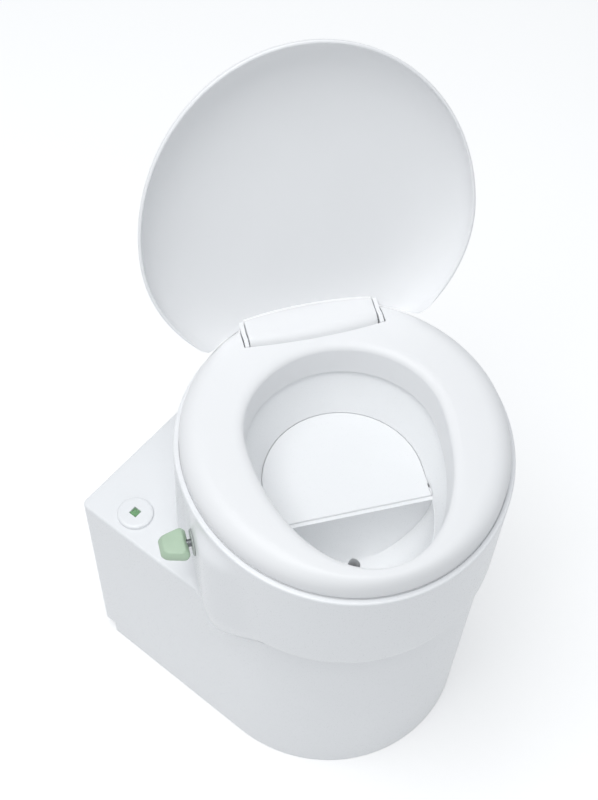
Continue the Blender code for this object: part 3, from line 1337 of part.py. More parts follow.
def pipe_along(name, route, radius):
    """A filled tube of one radius along a route."""
    curve = bpy.data.curves.new(name, "CURVE")
    curve.dimensions = "3D"
    curve.bevel_depth = radius
    curve.bevel_resolution = 4
    curve.use_fill_caps = True
    spline = curve.splines.new("POLY")
    spline.points.add(len(route) - 1)
    for point, place in zip(spline.points, route):
        point.co = (*place, 1)
    guide = bpy.data.objects.new(name, curve)
    bpy.context.scene.collection.objects.link(guide)
    graph = bpy.context.evaluated_depsgraph_get()
    graph.update()
    mesh = bpy.data.meshes.new_from_object(guide.evaluated_get(graph))
    bpy.data.objects.remove(guide, do_unlink=True)
    bpy.data.curves.remove(curve)
    work = bmesh.new()
    work.from_mesh(mesh)
    bmesh.ops.remove_doubles(work, verts=work.verts, dist=TOUCH_GAP / 30)
    bmesh.ops.recalc_face_normals(work, faces=work.faces)
    work.to_mesh(mesh)
    work.free()
    obj = bpy.data.objects.new(name, mesh)
    bpy.context.scene.collection.objects.link(obj)
    return obj


def make_pipe(materials):
    """The drain pipe, from the bowl's spigot round the chute to the tank's inlet."""
    inner = DRAIN_BORE + SPIGOT_WALL + PIPE_FIT
    inlet = Matrix.Rotation(-BOWL_TURN, 4, "Z") @ Vector((INLET_X, INLET_Y, 0))
    top = DRAIN_HEIGHT - BOWL_WALL - 2 * PIPE_WALL
    route = [
        Vector((0, -DRAIN_SETBACK, top)),
        Vector((0, -DRAIN_SETBACK, SHELF_HEIGHT - PIPE_RUN_DROP)),
        Vector((-PIPE_SIDE_SETBACK, -DRAIN_SETBACK, SHELF_HEIGHT - PIPE_RUN_DROP)),
        Vector((inlet.x, inlet.y, SHELF_HEIGHT - PIPE_END_DROP)),
        Vector((inlet.x, inlet.y, SHELF_HEIGHT - PIPE_OUTLET_DROP)),
    ]
    pipe = pipe_along("drain_pipe", bend(route, PIPE_BEND), inner + PIPE_WALL)
    up = Vector((0, 0, CUT_OVERRUN))
    route[0] = route[0] + up
    route[-1] = route[-1] - up
    cut(pipe, pipe_along("pipe_bore", bend(route, PIPE_BEND), inner))
    pipe.data.materials.append(materials["rubber"])
    smooth(pipe)
    return pipe


def make_vent(materials):
    """The vent outlet through the rear wall."""
    centre = (VENT_X, 0, VENT_Z)
    face = BODY_REAR + TOUCH_GAP
    tail = BODY_REAR - BODY_WALL - VENT_TAIL
    profile = [
        (VENT_RADIUS, tail),
        (VENT_RADIUS, face),
        (VENT_RADIUS + VENT_FLANGE_WIDTH, face),
        (VENT_RADIUS + VENT_FLANGE_WIDTH, face + VENT_FLANGE),
        (VENT_RADIUS, face + VENT_FLANGE),
        (VENT_RADIUS, face + VENT_LENGTH),
    ]
    vent = turned("vent_outlet", profile, centre, DIAL_SIDES, None, "Y")
    bore = VENT_RADIUS - VENT_WALL
    hole = [(bore, tail - CUT_OVERRUN), (bore, face + VENT_LENGTH + CUT_OVERRUN)]
    cut(vent, turned("vent_bore", hole, centre, DIAL_SIDES, None, "Y"))
    vent.data.materials.append(materials["shell"])
    smooth(vent)
    return vent


def empty(name, parent=None, place=(0, 0, 0)):
    """An empty that carries a group of pieces."""
    carrier = bpy.data.objects.new(name, None)
    bpy.context.scene.collection.objects.link(carrier)
    carrier.location = place
    carrier.parent = parent
    return carrier


def carry(carrier, pieces, pivot=(0, 0, 0)):
    """Hangs pieces on an empty that stands at pivot in the pieces' own frame."""
    for piece in pieces:
        piece.parent = carrier
        piece.location = -Vector(pivot)


def build():
    """Models the toilet and hangs every piece on its joint's empty."""
    clear_scene()
    materials = make_materials()
    base = empty("base")
    cover = empty("cover", base)
    bowl_frame = empty("bowl_frame", cover)
    bowl_frame.rotation_euler.z = BOWL_TURN
    collar, stem, floats = make_indicator(materials)
    cap, lens = make_dial(materials)
    base_pieces = [make_pan(materials), make_bin(materials), make_tank(materials), make_inlet(materials)]
    carry(base, base_pieces + [collar])
    carry(empty("indicator_slide", base), [stem, floats])
    carry(cover, [make_housing(materials), cap, lens, make_vent(materials)])
    bushes = [make_bush("flap_bush_right", -1, materials), make_bush("flap_bush_left", 1, materials)]
    fixed = [make_bowl(materials), make_pipe(materials), make_escutcheon(materials)] + bushes
    carry(bowl_frame, fixed + make_seat_hinges(materials))
    flap_axis = empty("flap_axis", bowl_frame, FLAP_AXIS)
    carry(flap_axis, [make_flap(materials), make_shaft(materials), make_knob(materials)], FLAP_AXIS)
    seat_axis = empty("seat_axis", bowl_frame, SEAT_AXIS)
    seat = [make_seat(materials), make_bar(materials)]
    carry(seat_axis, seat + make_buffers(materials) + make_pins(materials), SEAT_AXIS)
    lid_axis = empty("lid_axis", seat_axis, LID_AXIS - SEAT_AXIS)
    lid_axis.rotation_euler.x = -LID_REST_ANGLE
    carry(lid_axis, [make_lid(materials)], LID_AXIS)


build()
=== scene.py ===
"""Looks of a compact separating toilet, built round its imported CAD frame.

Sizes are in metres. The housing stands square to the wall, +Y towards it, with the floor at Z = 0. The bowl,
its flap, the seat and the lid are built in the bowl's own frame, +X the sitter's left and -Y the seat's front,
and are then turned about the bowl's upright axis.
"""

import logging
import math
from collections.abc import Callable, Iterable, Sequence
from dataclasses import dataclass
from enum import Enum
from typing import Generic, TypeVar

import bmesh
import bpy
from mathutils import Matrix, Vector


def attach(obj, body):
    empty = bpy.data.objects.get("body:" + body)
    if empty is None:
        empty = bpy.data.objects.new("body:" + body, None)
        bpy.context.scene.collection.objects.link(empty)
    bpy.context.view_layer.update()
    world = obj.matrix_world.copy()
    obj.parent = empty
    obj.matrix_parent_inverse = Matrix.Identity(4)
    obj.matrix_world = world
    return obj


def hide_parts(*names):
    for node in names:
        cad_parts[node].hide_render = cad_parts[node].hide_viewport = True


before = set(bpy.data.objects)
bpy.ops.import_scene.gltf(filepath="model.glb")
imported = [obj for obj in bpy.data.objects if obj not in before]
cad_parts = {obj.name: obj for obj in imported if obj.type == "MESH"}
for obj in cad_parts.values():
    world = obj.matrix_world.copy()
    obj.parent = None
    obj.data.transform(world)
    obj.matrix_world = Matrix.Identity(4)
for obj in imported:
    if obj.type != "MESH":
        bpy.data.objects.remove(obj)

LOG = logging.getLogger("toilet")

Colour = tuple[float, float, float]
Ring = list[Vector]
Profile = Sequence[tuple[float, float]]
Form = TypeVar("Form")


class Mixing(Enum):
    """How one solid acts on another."""

    JOIN = "UNION"
    CUT = "DIFFERENCE"
    COMMON = "INTERSECT"


class Along(Enum):
    """The axis that a round piece is turned about."""

    X = 0
    Y = 1
    Z = 2

    def place(self, first: float, second: float, height: float) -> Vector:
        """Puts a point of a turned ring in space.

        Args:
            first: How far out it lies along the first cross axis.
            second: How far out it lies along the second cross axis.
            height: Where it lies along this axis.

        Returns:
            The point.
        """
        if self is Along.X:
            return Vector((height, first, second))
        if self is Along.Y:
            return Vector((second, height, first))
        return Vector((first, second, height))


class Body(Enum):
    """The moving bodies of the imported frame."""

    BASE = "base"
    COVER = "cover"
    FLAP = "flap"
    SEAT = "seat"
    LID = "lid"
    INDICATOR = "indicator"


@dataclass(frozen=True)
class Plan:
    """Levels and axes that several assemblies share."""

    touch_gap: float = 0.0003
    overrun: float = 0.004
    weld: float = 0.000005
    bowl_turn: float = math.radians(-37.0)
    shelf: float = 0.306
    rim: float = 0.466
    flap_share: float = 0.65
    drain_share: float = 0.18
    rim_half_width: float = 0.170
    rim_front: float = 0.184
    lip_width: float = 0.0055
    flange: float = 0.0037
    body_half_width: float = 0.168
    body_rear: float = 0.228
    body_wall: float = 0.004
    pad_face: float = 0.1655
    pad_root: float = 0.140
    shaft_radius: float = 0.004
    shaft_fit: float = 0.0003
    bush_wall: float = 0.0022
    flap_axis_setback: float = 0.047
    barrel_radius: float = 0.006
    barrel_gap: float = 0.0005
    chute_half_width: float = 0.0845
    flap_setback: float = 0.014
    buffer_height: float = 0.003
    lid_axis_setback: float = 0.122
    lid_axis_rise: float = 0.0225
    lid_rest: float = math.radians(110.0)
    dial_x: float = -0.137
    dial_y: float = 0.172
    vent_x: float = 0.110
    vent_z: float = 0.250
    drain_setback: float = 0.075

    @property
    def flap_level(self) -> float:
        """The height of the flap's top."""
        return self.shelf + self.flap_share * (self.rim - self.shelf)

    @property
    def drain(self) -> float:
        """The height of the urine bowl's floor."""
        return self.shelf + self.drain_share * (self.rim - self.shelf)

    @property
    def seat_base(self) -> float:
        """The height of the seat's underside."""
        return self.rim + self.buffer_height

    @property
    def lid_axis(self) -> Vector:
        """A point of the lid's hinge axis, in the bowl frame."""
        return Vector((0, self.lid_axis_setback, self.rim + self.lid_axis_rise))

    @property
    def flap_axis(self) -> Vector:
        """A point of the flap's axis, in the bowl frame."""
        return Vector((0, -self.flap_axis_setback, self.flap_level - self.barrel_radius))

    @property
    def flap_front(self) -> float:
        """How far forward the flap's straight front lies."""
        return self.flap_axis_setback + self.barrel_radius

    @property
    def chute_front(self) -> float:
        """How far forward the chute's straight front lies."""
        return self.flap_front + self.barrel_gap

    @property
    def shaft_bore(self) -> float:
        """The radius of a bore that fits the shaft."""
        return self.shaft_radius + self.shaft_fit

    @property
    def dial_axis(self) -> Vector:
        """A point of the level dial's upright axis."""
        return Vector((self.dial_x, self.dial_y, 0))

    @property
    def vent_axis(self) -> Vector:
        """A point of the vent's axis, which runs back."""
        return Vector((self.vent_x, 0, self.vent_z))


@dataclass(frozen=True)
class Facets:
    """How finely the round forms are cut."""

    egg: int = 160
    dome_rings: int = 40
    arc: int = 64
    corner: int = 7
    small: int = 40
    dial: int = 80
    bar: int = 12
    bow: int = 24
    crown: int = 12
    lip: int = 8
    edge: int = 3


PLAN = Plan()
FACETS = Facets()
EGG_TURNS = [math.tau * side / FACETS.egg for side in range(FACETS.egg)]


# Meshes.


def quarter(steps: int) -> list[tuple[float, float]]:
    """The sine and the cosine at even steps of a quarter turn, both its ends among them."""
    turns = [math.pi / 2 * step / steps for step in range(steps + 1)]
    return [(math.sin(turn), math.cos(turn)) for turn in turns]


def blend_step(low: float, high: float, value: float) -> float:
    """Rises smoothly from 0 at the low value to 1 at the high one."""
    share = min(max((value - low) / (high - low), 0.0), 1.0)
    return share * share * (3 - 2 * share)


def is_sharp(edge: bmesh.types.BMEdge) -> bool:
    """Whether two faces meet at an edge with more than 40 degrees between them."""
    return len(edge.link_faces) == 2 and edge.calc_face_angle(0) > math.radians(40)


def add_object(name: str, data: bpy.types.ID) -> bpy.types.Object:
    """Puts an object with this data into the scene.

    Args:
        name: The object's name.
        data: Its mesh, lamp or camera.

    Returns:
        The object.
    """
    obj = bpy.data.objects.new(name, data)
    bpy.context.scene.collection.objects.link(obj)
    return obj


def apply_modifiers(obj: bpy.types.Object) -> bpy.types.Mesh:
    """Makes a plain mesh of what an object's modifiers give, and takes them off.

    Args:
        obj: The object.

    Returns:
        The mesh.
    """
    graph = bpy.context.evaluated_depsgraph_get()
    graph.update()
    mesh = bpy.data.meshes.new_from_object(obj.evaluated_get(graph))
    obj.modifiers.clear()
    return mesh


class Solid:
    """A closed mesh under construction."""

    def __init__(self, name: str, points: Iterable[Vector], faces: Iterable[Sequence[int]]) -> None:
        """Makes a solid of points and faces, and turns its faces out.

        Args:
            name: The piece's name.
            points: The corners.
            faces: The corners' numbers, face by face.
        """
        mesh = bpy.data.meshes.new(name)
        mesh.from_pydata([tuple(p) for p in points], [], [tuple(f) for f in faces])
        self.obj = add_object(name, mesh)
        self.face_out()

    @classmethod
    def of_mesh(cls, name: str, mesh: bpy.types.Mesh) -> "Solid":
        """Wraps a finished mesh.

        Args:
            name: The piece's name.
            mesh: The mesh, which the solid then owns.

        Returns:
            The solid.
        """
        solid = cls(name, [], [])
        solid.take(mesh)
        return solid

    @classmethod
    def loft(cls, name: str, rings: Sequence[Ring]) -> "Solid":
        """A solid through rings of equal counts, capped at both ends.

        Args:
            name: The piece's name.
            rings: The rings, from one end to the other.

        Returns:
            The solid.
        """
        count = len(rings[0])
        faces: list[tuple[int, ...]] = []
        for level in range(len(rings) - 1):
            low = level * count
            for side in range(count):
                after = (side + 1) % count
                faces.append((low + side, low + after, low + count + after, low + count + side))
        faces.append(tuple(range(count))[::-1])
        top = (len(rings) - 1) * count
        faces.append(tuple(top + side for side in range(count)))
        return cls(name, [p for ring in rings for p in ring], faces)

    @classmethod
    def hoop(cls, name: str, sections: Sequence[Ring]) -> "Solid":
        """A closed ring through sections, the last joined to the first.

        Args:
            name: The piece's name.
            sections: The sections, of equal counts.

        Returns:
            The solid.
        """
        count = len(sections[0])
        faces = []
        for turn in range(len(sections)):
            here = turn * count
            there = ((turn + 1) % len(sections)) * count
            for side in range(count):
                after = (side + 1) % count
                faces.append((here + side, here + after, there + after, there + side))
        return cls(name, [p for section in sections for p in section], faces)

    @classmethod
    def turned(
        cls, name: str, profile: Profile, centre: Sequence[float], sides: int, axis: Along = Along.Z
    ) -> "Solid":
        """A solid turned about an axis.

        Args:
            name: The piece's name.
            profile: Radius and height, from one end to the other.
            centre: A point of the axis that heights are counted from.
            sides: The number of facets round it.
            axis: The axis it is turned about.

        Returns:
            The solid.
        """
        circle = [(math.cos(math.tau * side / sides), math.sin(math.tau * side / sides)) for side in range(sides)]
        rings = []
        for radius, height in profile:
            rings.append([axis.place(radius * x, radius * y, height) + Vector(centre) for x, y in circle])
        return cls.loft(name, rings)

    @classmethod
    def rod(
        cls, name: str, radius: float, ends: Sequence[float], centre: Sequence[float],
        sides: int = FACETS.small, axis: Along = Along.X,
    ) -> "Solid":
        """A straight round rod between two places along an axis, for bores and hubs."""
        return cls.turned(name, [(radius, end) for end in ends], centre, sides, axis)

    @classmethod
    def block(cls, name: str, low: Sequence[float], high: Sequence[float]) -> "Solid":
        """A box between its lowest and its highest corner, for cuts and lugs."""
        plan = ((low[0], low[1]), (high[0], low[1]), (high[0], high[1]), (low[0], high[1]))
        return cls.loft(name, [[Vector((x, y, z)) for x, y in plan] for z in (low[2], high[2])])

    def take(self, mesh: bpy.types.Mesh) -> None:
        """Puts another mesh in place of the solid's own, which is removed.

        Args:
            mesh: The mesh that the solid then owns.
        """
        old = self.obj.data
        self.obj.data = mesh
        bpy.data.meshes.remove(old)

    def edit(self, change: Callable[[bmesh.types.BMesh], None]) -> "Solid":
        """Runs a change on the mesh.

        Args:
            change: What is done to the editable mesh.

        Returns:
            This solid.
        """
        work = bmesh.new()
        work.from_mesh(self.obj.data)
        change(work)
        work.to_mesh(self.obj.data)
        work.free()
        return self

    def face_out(self) -> "Solid":
        """Turns every face outwards."""
        return self.edit(lambda work: bmesh.ops.recalc_face_normals(work, faces=work.faces))

    def mix(self, tool: "Solid", how: Mixing) -> "Solid":
        """Joins another solid to this one, or cuts it out, and removes it.

        Args:
            tool: The other solid.
            how: What is done with it.

        Returns:
            This solid.
        """
        modifier = self.obj.modifiers.new(how.name.title(), "BOOLEAN")
        modifier.operation = how.value
        modifier.solver = "EXACT"
        modifier.object = tool.obj
        self.take(apply_modifiers(self.obj))
        bpy.data.objects.remove(tool.obj, do_unlink=True)
        return self.edit(
            lambda work: bmesh.ops.dissolve_degenerate(work, edges=work.edges, dist=PLAN.touch_gap / 100)
        )

    def cut(self, tool: "Solid") -> "Solid":
        """Cuts another solid out of this one."""
        return self.mix(tool, Mixing.CUT)

    def join(self, tool: "Solid") -> "Solid":
        """Joins another solid to this one."""
        return self.mix(tool, Mixing.JOIN)

    def move(self, matrix: Matrix) -> "Solid":
        """Moves the mesh, and leaves the object at the origin."""
        self.obj.data.transform(matrix)
        return self

    def turn_to_bowl(self) -> "Solid":
        """Turns the mesh from the bowl frame to the housing's."""
        return self.move(Matrix.Rotation(PLAN.bowl_turn, 4, "Z"))

    def soften(self, width: float, chosen: Callable[[bmesh.types.BMEdge], bool], segments: int = 3) -> "Solid":
        """Rounds edges of the mesh.

        Args:
            width: How far the rounding runs in from an edge.
            chosen: Says of an edge whether it is rounded.
            segments: The number of facets across a rounding.

        Returns:
            This solid.
        """

        def change(work: bmesh.types.BMesh) -> None:
            """Bevels the chosen edges."""
            bmesh.ops.bevel(
                work, geom=[edge for edge in work.edges if chosen(edge)], offset=width, offset_type="OFFSET",
                segments=segments, profile=0.5, affect="EDGES", clamp_overlap=True,
            )

        return self.edit(change)


class Outline:
    """Plan outlines of the toilet's forms."""

    @staticmethod
    def squared(value: float, share: float) -> float:
        """A sine or cosine pushed outwards, which squares an ellipse's corners."""
        return math.copysign(abs(value) ** share, value)

    @classmethod
    def egg_point(
        cls, half: float, front: float, rear: float, angle: float, setback: float = 0.0, square: float = 1.0
    ) -> Vector:
        """A point of an egg of two half ellipses that share their width line.

        Args:
            half: Half the width.
            front: The reach to the front.
            rear: The reach to the rear.
            angle: Where on the egg, anticlockwise from +X.
            setback: How far forward the width line lies.
            square: Below 1, the front half's corners are squared.

        Returns:
            The point in plan.
        """
        if math.sin(angle) > 0:
            return Vector((half * math.cos(angle), rear * math.sin(angle) - setback))
        across = half * cls.squared(math.cos(angle), square)
        return Vector((across, front * cls.squared(math.sin(angle), square) - setback))

    @classmethod
    def egg(
        cls, half: float, front: float, rear: float, height: float, setback: float = 0.0, square: float = 1.0
    ) -> Ring:
        """A ring of egg points of the same sizes at one height."""
        return [Vector((*cls.egg_point(half, front, rear, turn, setback, square), height)) for turn in EGG_TURNS]

    @staticmethod
    def chute(grow: float, height: float, front: float) -> Ring:
        """The outline that the chute and the flap share, half round behind and straight in front.

        Args:
            grow: How far it is grown outwards.
            height: The ring's height.
            front: How far forward its straight front lies before it is grown.

        Returns:
            The ring.
        """
        half = PLAN.chute_half_width + grow
        ring = [Vector((half, -front - grow, height))]
        for step in range(FACETS.arc + 1):
            angle = math.pi * step / FACETS.arc
            ring.append(Vector((half * math.cos(angle), half * math.sin(angle) - PLAN.flap_setback, height)))
        ring.append(Vector((-half, -front - grow, height)))
        return ring


# Node trees.


class NodeSheet:
    """Adds nodes to a tree and joins their sockets."""

    def __init__(self, tree: bpy.types.NodeTree) -> None:
        """Keeps the tree that nodes are added to."""
        self.tree = tree

    def add(self, kind: str, feeds: dict | None = None, **settings: object) -> bpy.types.Node:
        """Adds a node.

        Args:
            kind: The node's type.
            feeds: What goes into each input: a socket, or a value.
            settings: The node's own settings.

        Returns:
            The node.
        """
        node = self.tree.nodes.new(kind)
        for name, value in settings.items():
            setattr(node, name, value)
        for name, value in (feeds or {}).items():
            if isinstance(value, bpy.types.NodeSocket):
                self.tree.links.new(value, node.inputs[name])
            else:
                node.inputs[name].default_value = value
        return node

    def calc(self, operation: str, *values: object) -> bpy.types.NodeSocket:
        """The result of a Math node that takes sockets or numbers in this order."""
        return self.add("ShaderNodeMath", dict(enumerate(values)), operation=operation).outputs[0]

    def position(self) -> bpy.types.bpy_prop_collection:
        """The X, Y and Z of the point that a value is worked out for."""
        return self.add("ShaderNodeSeparateXYZ", {0: self.add("GeometryNodeInputPosition").outputs[0]}).outputs


class PatternTree:
    """A Geometry Nodes tree with named inputs that ends in Realize Instances and Set Material."""

    def __init__(self, name: str, inputs: dict[str, float | int]) -> None:
        """Starts the tree.

        Args:
            name: The tree's name.
            inputs: Each named size and its value. A whole number makes a whole-number input.
        """
        self.tree = bpy.data.node_groups.new(name, "GeometryNodeTree")
        self.sizes = inputs
        self.sheet = NodeSheet(self.tree)
        self.keys: dict[str, str] = {}
        face = self.tree.interface
        face.new_socket(name="Geometry", in_out="INPUT", socket_type="NodeSocketGeometry")
        for label, value in inputs.items():
            kind = "NodeSocketInt" if isinstance(value, int) else "NodeSocketFloat"
            self.keys[label] = face.new_socket(name=label, in_out="INPUT", socket_type=kind).identifier
        material = face.new_socket(name="Material", in_out="INPUT", socket_type="NodeSocketMaterial")
        self.keys["Material"] = material.identifier
        face.new_socket(name="Geometry", in_out="OUTPUT", socket_type="NodeSocketGeometry")
        self.start = self.sheet.add("NodeGroupInput")

    def size(self, label: str) -> bpy.types.NodeSocket:
        """The socket of a named size."""
        return self.start.outputs[label]

    def close(self, geometry: bpy.types.NodeSocket) -> None:
        """Ends the tree.

        Args:
            geometry: What the tree has made.
        """
        whole = self.sheet.add("GeometryNodeRealizeInstances", {"Geometry": geometry})
        dressed = self.sheet.add(
            "GeometryNodeSetMaterial", {"Geometry": whole.outputs[0], "Material": self.size("Material")}
        )
        self.sheet.add("NodeGroupOutput", {"Geometry": dressed.outputs[0]})

    def grow(self, name: str, points: Sequence[Vector], material: bpy.types.Material | None) -> Solid:
        """Runs the tree on a line of points and keeps the plain mesh.

        Args:
            name: The piece's name.
            points: The points that the tree starts from, joined into a line.
            material: The finish, if the piece is dressed by the tree.

        Returns:
            The solid.
        """
        mesh = bpy.data.meshes.new(name + "_line")
        mesh.from_pydata([tuple(p) for p in points], [(i, i + 1) for i in range(len(points) - 1)], [])
        obj = add_object(name + "_line", mesh)
        modifier = obj.modifiers.new("Pattern", "NODES")
        modifier.node_group = self.tree
        for label, value in self.sizes.items():
            modifier[self.keys[label]] = value
        modifier[self.keys["Material"]] = material
        result = apply_modifiers(obj)
        bpy.data.objects.remove(obj, do_unlink=True)
        return Solid.of_mesh(name, result)


@dataclass(frozen=True)
class EggDome:
    """The rule of the lid's skins: an egg in plan under a superelliptic dome."""

    half: float
    front: float
    rear: float
    centre_y: float
    edge: float
    dome: float
    skirt: float = 0.0
    share: float = 0.42
    weld: float = 0.00001

    def tree(self) -> PatternTree:
        """Builds the node tree.

        Returns:
            The tree, with each size as a named input.
        """
        made = PatternTree(
            "egg_dome",
            {
                "Half Width": self.half, "Front Reach": self.front, "Rear Reach": self.rear,
                "Centre": self.centre_y, "Edge Height": self.edge, "Dome Height": self.dome,
                "Skirt": self.skirt, "Dome Share": self.share, "Sides": FACETS.egg, "Rings": FACETS.dome_rings,
            },
        )
        sheet, calc, size = made.sheet, made.sheet.calc, made.size
        columns, rows = calc("ADD", size("Sides"), 1), calc("ADD", size("Rings"), 2)
        grid = sheet.add(
            "GeometryNodeMeshGrid", {"Size X": 1.0, "Size Y": 1.0, "Vertices X": columns, "Vertices Y": rows}
        )
        place = sheet.position()
        angle = calc("MULTIPLY", calc("ADD", place[0], 0.5), math.tau)
        row = calc("MULTIPLY", calc("ADD", place[1], 0.5), calc("ADD", size("Rings"), 1))
        level = calc("MAXIMUM", calc("DIVIDE", calc("SUBTRACT", row, 1), size("Rings")), 0)
        turn = calc("MULTIPLY", level, math.pi / 2)
        width = calc("POWER", calc("MAXIMUM", calc("COSINE", turn), 0), size("Dome Share"))
        sine = calc("SINE", angle)
        behind = calc("MULTIPLY", calc("MAXIMUM", sine, 0), size("Rear Reach"))
        ahead = calc("MULTIPLY", calc("MINIMUM", sine, 0), size("Front Reach"))
        along = calc("MULTIPLY", calc("ADD", behind, ahead), width)
        across = calc("MULTIPLY", calc("MULTIPLY", calc("COSINE", angle), size("Half Width")), width)
        rise = calc("MULTIPLY", calc("SINE", turn), size("Dome Height"))
        drop = calc("MULTIPLY", calc("LESS_THAN", row, 0.5), size("Skirt"))
        height = calc("ADD", size("Edge Height"), calc("SUBTRACT", rise, drop))
        spot = sheet.add("ShaderNodeCombineXYZ", {0: across, 1: calc("ADD", along, size("Centre")), 2: height})
        moved = sheet.add("GeometryNodeSetPosition", {"Geometry": grid.outputs[0], "Position": spot.outputs[0]})
        merged = sheet.add("GeometryNodeMergeByDistance", {"Geometry": moved.outputs[0], "Distance": self.weld})
        made.close(merged.outputs[0])
        return made

    def solid(self, name: str) -> Solid:
        """The dome closed across its foot.

        Args:
            name: The solid's name.

        Returns:
            The solid.
        """
        skin = self.tree().grow(name, [Vector((0, 0, 0))], None)
        skin.edit(lambda work: bmesh.ops.holes_fill(work, edges=work.edges, sides=0))
        return skin.face_out()


@dataclass(frozen=True)
class HoseRidges:
    """Ridges that follow a hose or a tube."""

    radius: float
    ridge: float
    pitch: float
    sides: int = 32
    ridge_sides: int = 8

    def solid(self, name: str, route: Sequence[Vector], material: bpy.types.Material) -> Solid:
        """Sets a rounded ridge at each pitch of a route.

        Args:
            name: The piece's name.
            route: The points that the ridges follow.
            material: The finish.

        Returns:
            The ridges as one mesh.
        """
        sizes = {"Tube Radius": self.radius, "Ridge Radius": self.ridge, "Pitch": self.pitch, "Sides": self.sides}
        made = PatternTree("hose_ridges", sizes)
        sheet = made.sheet
        path = sheet.add("GeometryNodeMeshToCurve", {"Mesh": made.start.outputs["Geometry"]})
        spots = sheet.add(
            "GeometryNodeCurveToPoints", {"Curve": path.outputs[0], "Length": made.size("Pitch")}, mode="LENGTH"
        )
        big = sheet.add(
            "GeometryNodeCurvePrimitiveCircle", {"Resolution": made.size("Sides"), "Radius": made.size("Tube Radius")}
        )
        fine = sheet.add(
            "GeometryNodeCurvePrimitiveCircle", {"Resolution": self.ridge_sides, "Radius": made.size("Ridge Radius")}
        )
        ridge = sheet.add("GeometryNodeCurveToMesh", {"Curve": big.outputs[0], "Profile Curve": fine.outputs[0]})
        placed = sheet.add(
            "GeometryNodeInstanceOnPoints",
            {"Points": spots.outputs[0], "Instance": ridge.outputs[0], "Rotation": spots.outputs["Rotation"]},
        )
        made.close(placed.outputs[0])
        return made.grow(name, route, material).face_out()


@dataclass(frozen=True)
class SoftButtons:
    """Rounded rubber buttons set at points."""

    radius: float
    height: float
    segments: int = 32
    rings: int = 12

    def solid(self, name: str, spots: Sequence[Vector], material: bpy.types.Material) -> Solid:
        """Sets a button at each point.

        Args:
            name: The piece's name.
            spots: The buttons' middles.
            material: The finish.

        Returns:
            The buttons as one mesh.
        """
        sizes = {"Radius": self.radius, "Height": self.height, "Segments": self.segments, "Rings": self.rings}
        made = PatternTree("soft_buttons", sizes)
        sheet = made.sheet
        ball = sheet.add(
            "GeometryNodeMeshUVSphere",
            {"Segments": made.size("Segments"), "Rings": made.size("Rings"), "Radius": 1.0},
        )
        place = sheet.position()
        edge = sheet.calc("SQRT", sheet.calc("ABSOLUTE", place[2]))
        half = sheet.calc("MULTIPLY", made.size("Height"), 0.5)
        height = sheet.calc("MULTIPLY", sheet.calc("MULTIPLY", sheet.calc("SIGN", place[2]), edge), half)
        across, along = (sheet.calc("MULTIPLY", place[way], made.size("Radius")) for way in (0, 1))
        flat = sheet.add("ShaderNodeCombineXYZ", {0: across, 1: along, 2: height})
        shaped = sheet.add("GeometryNodeSetPosition", {"Geometry": ball.outputs[0], "Position": flat.outputs[0]})
        points = sheet.add("GeometryNodeMeshToPoints", {"Mesh": made.start.outputs["Geometry"]})
        placed = sheet.add("GeometryNodeInstanceOnPoints", {"Points": points.outputs[0], "Instance": shaped.outputs[0]})
        made.close(placed.outputs[0])
        return made.grow(name, spots, material)


# Finishes.


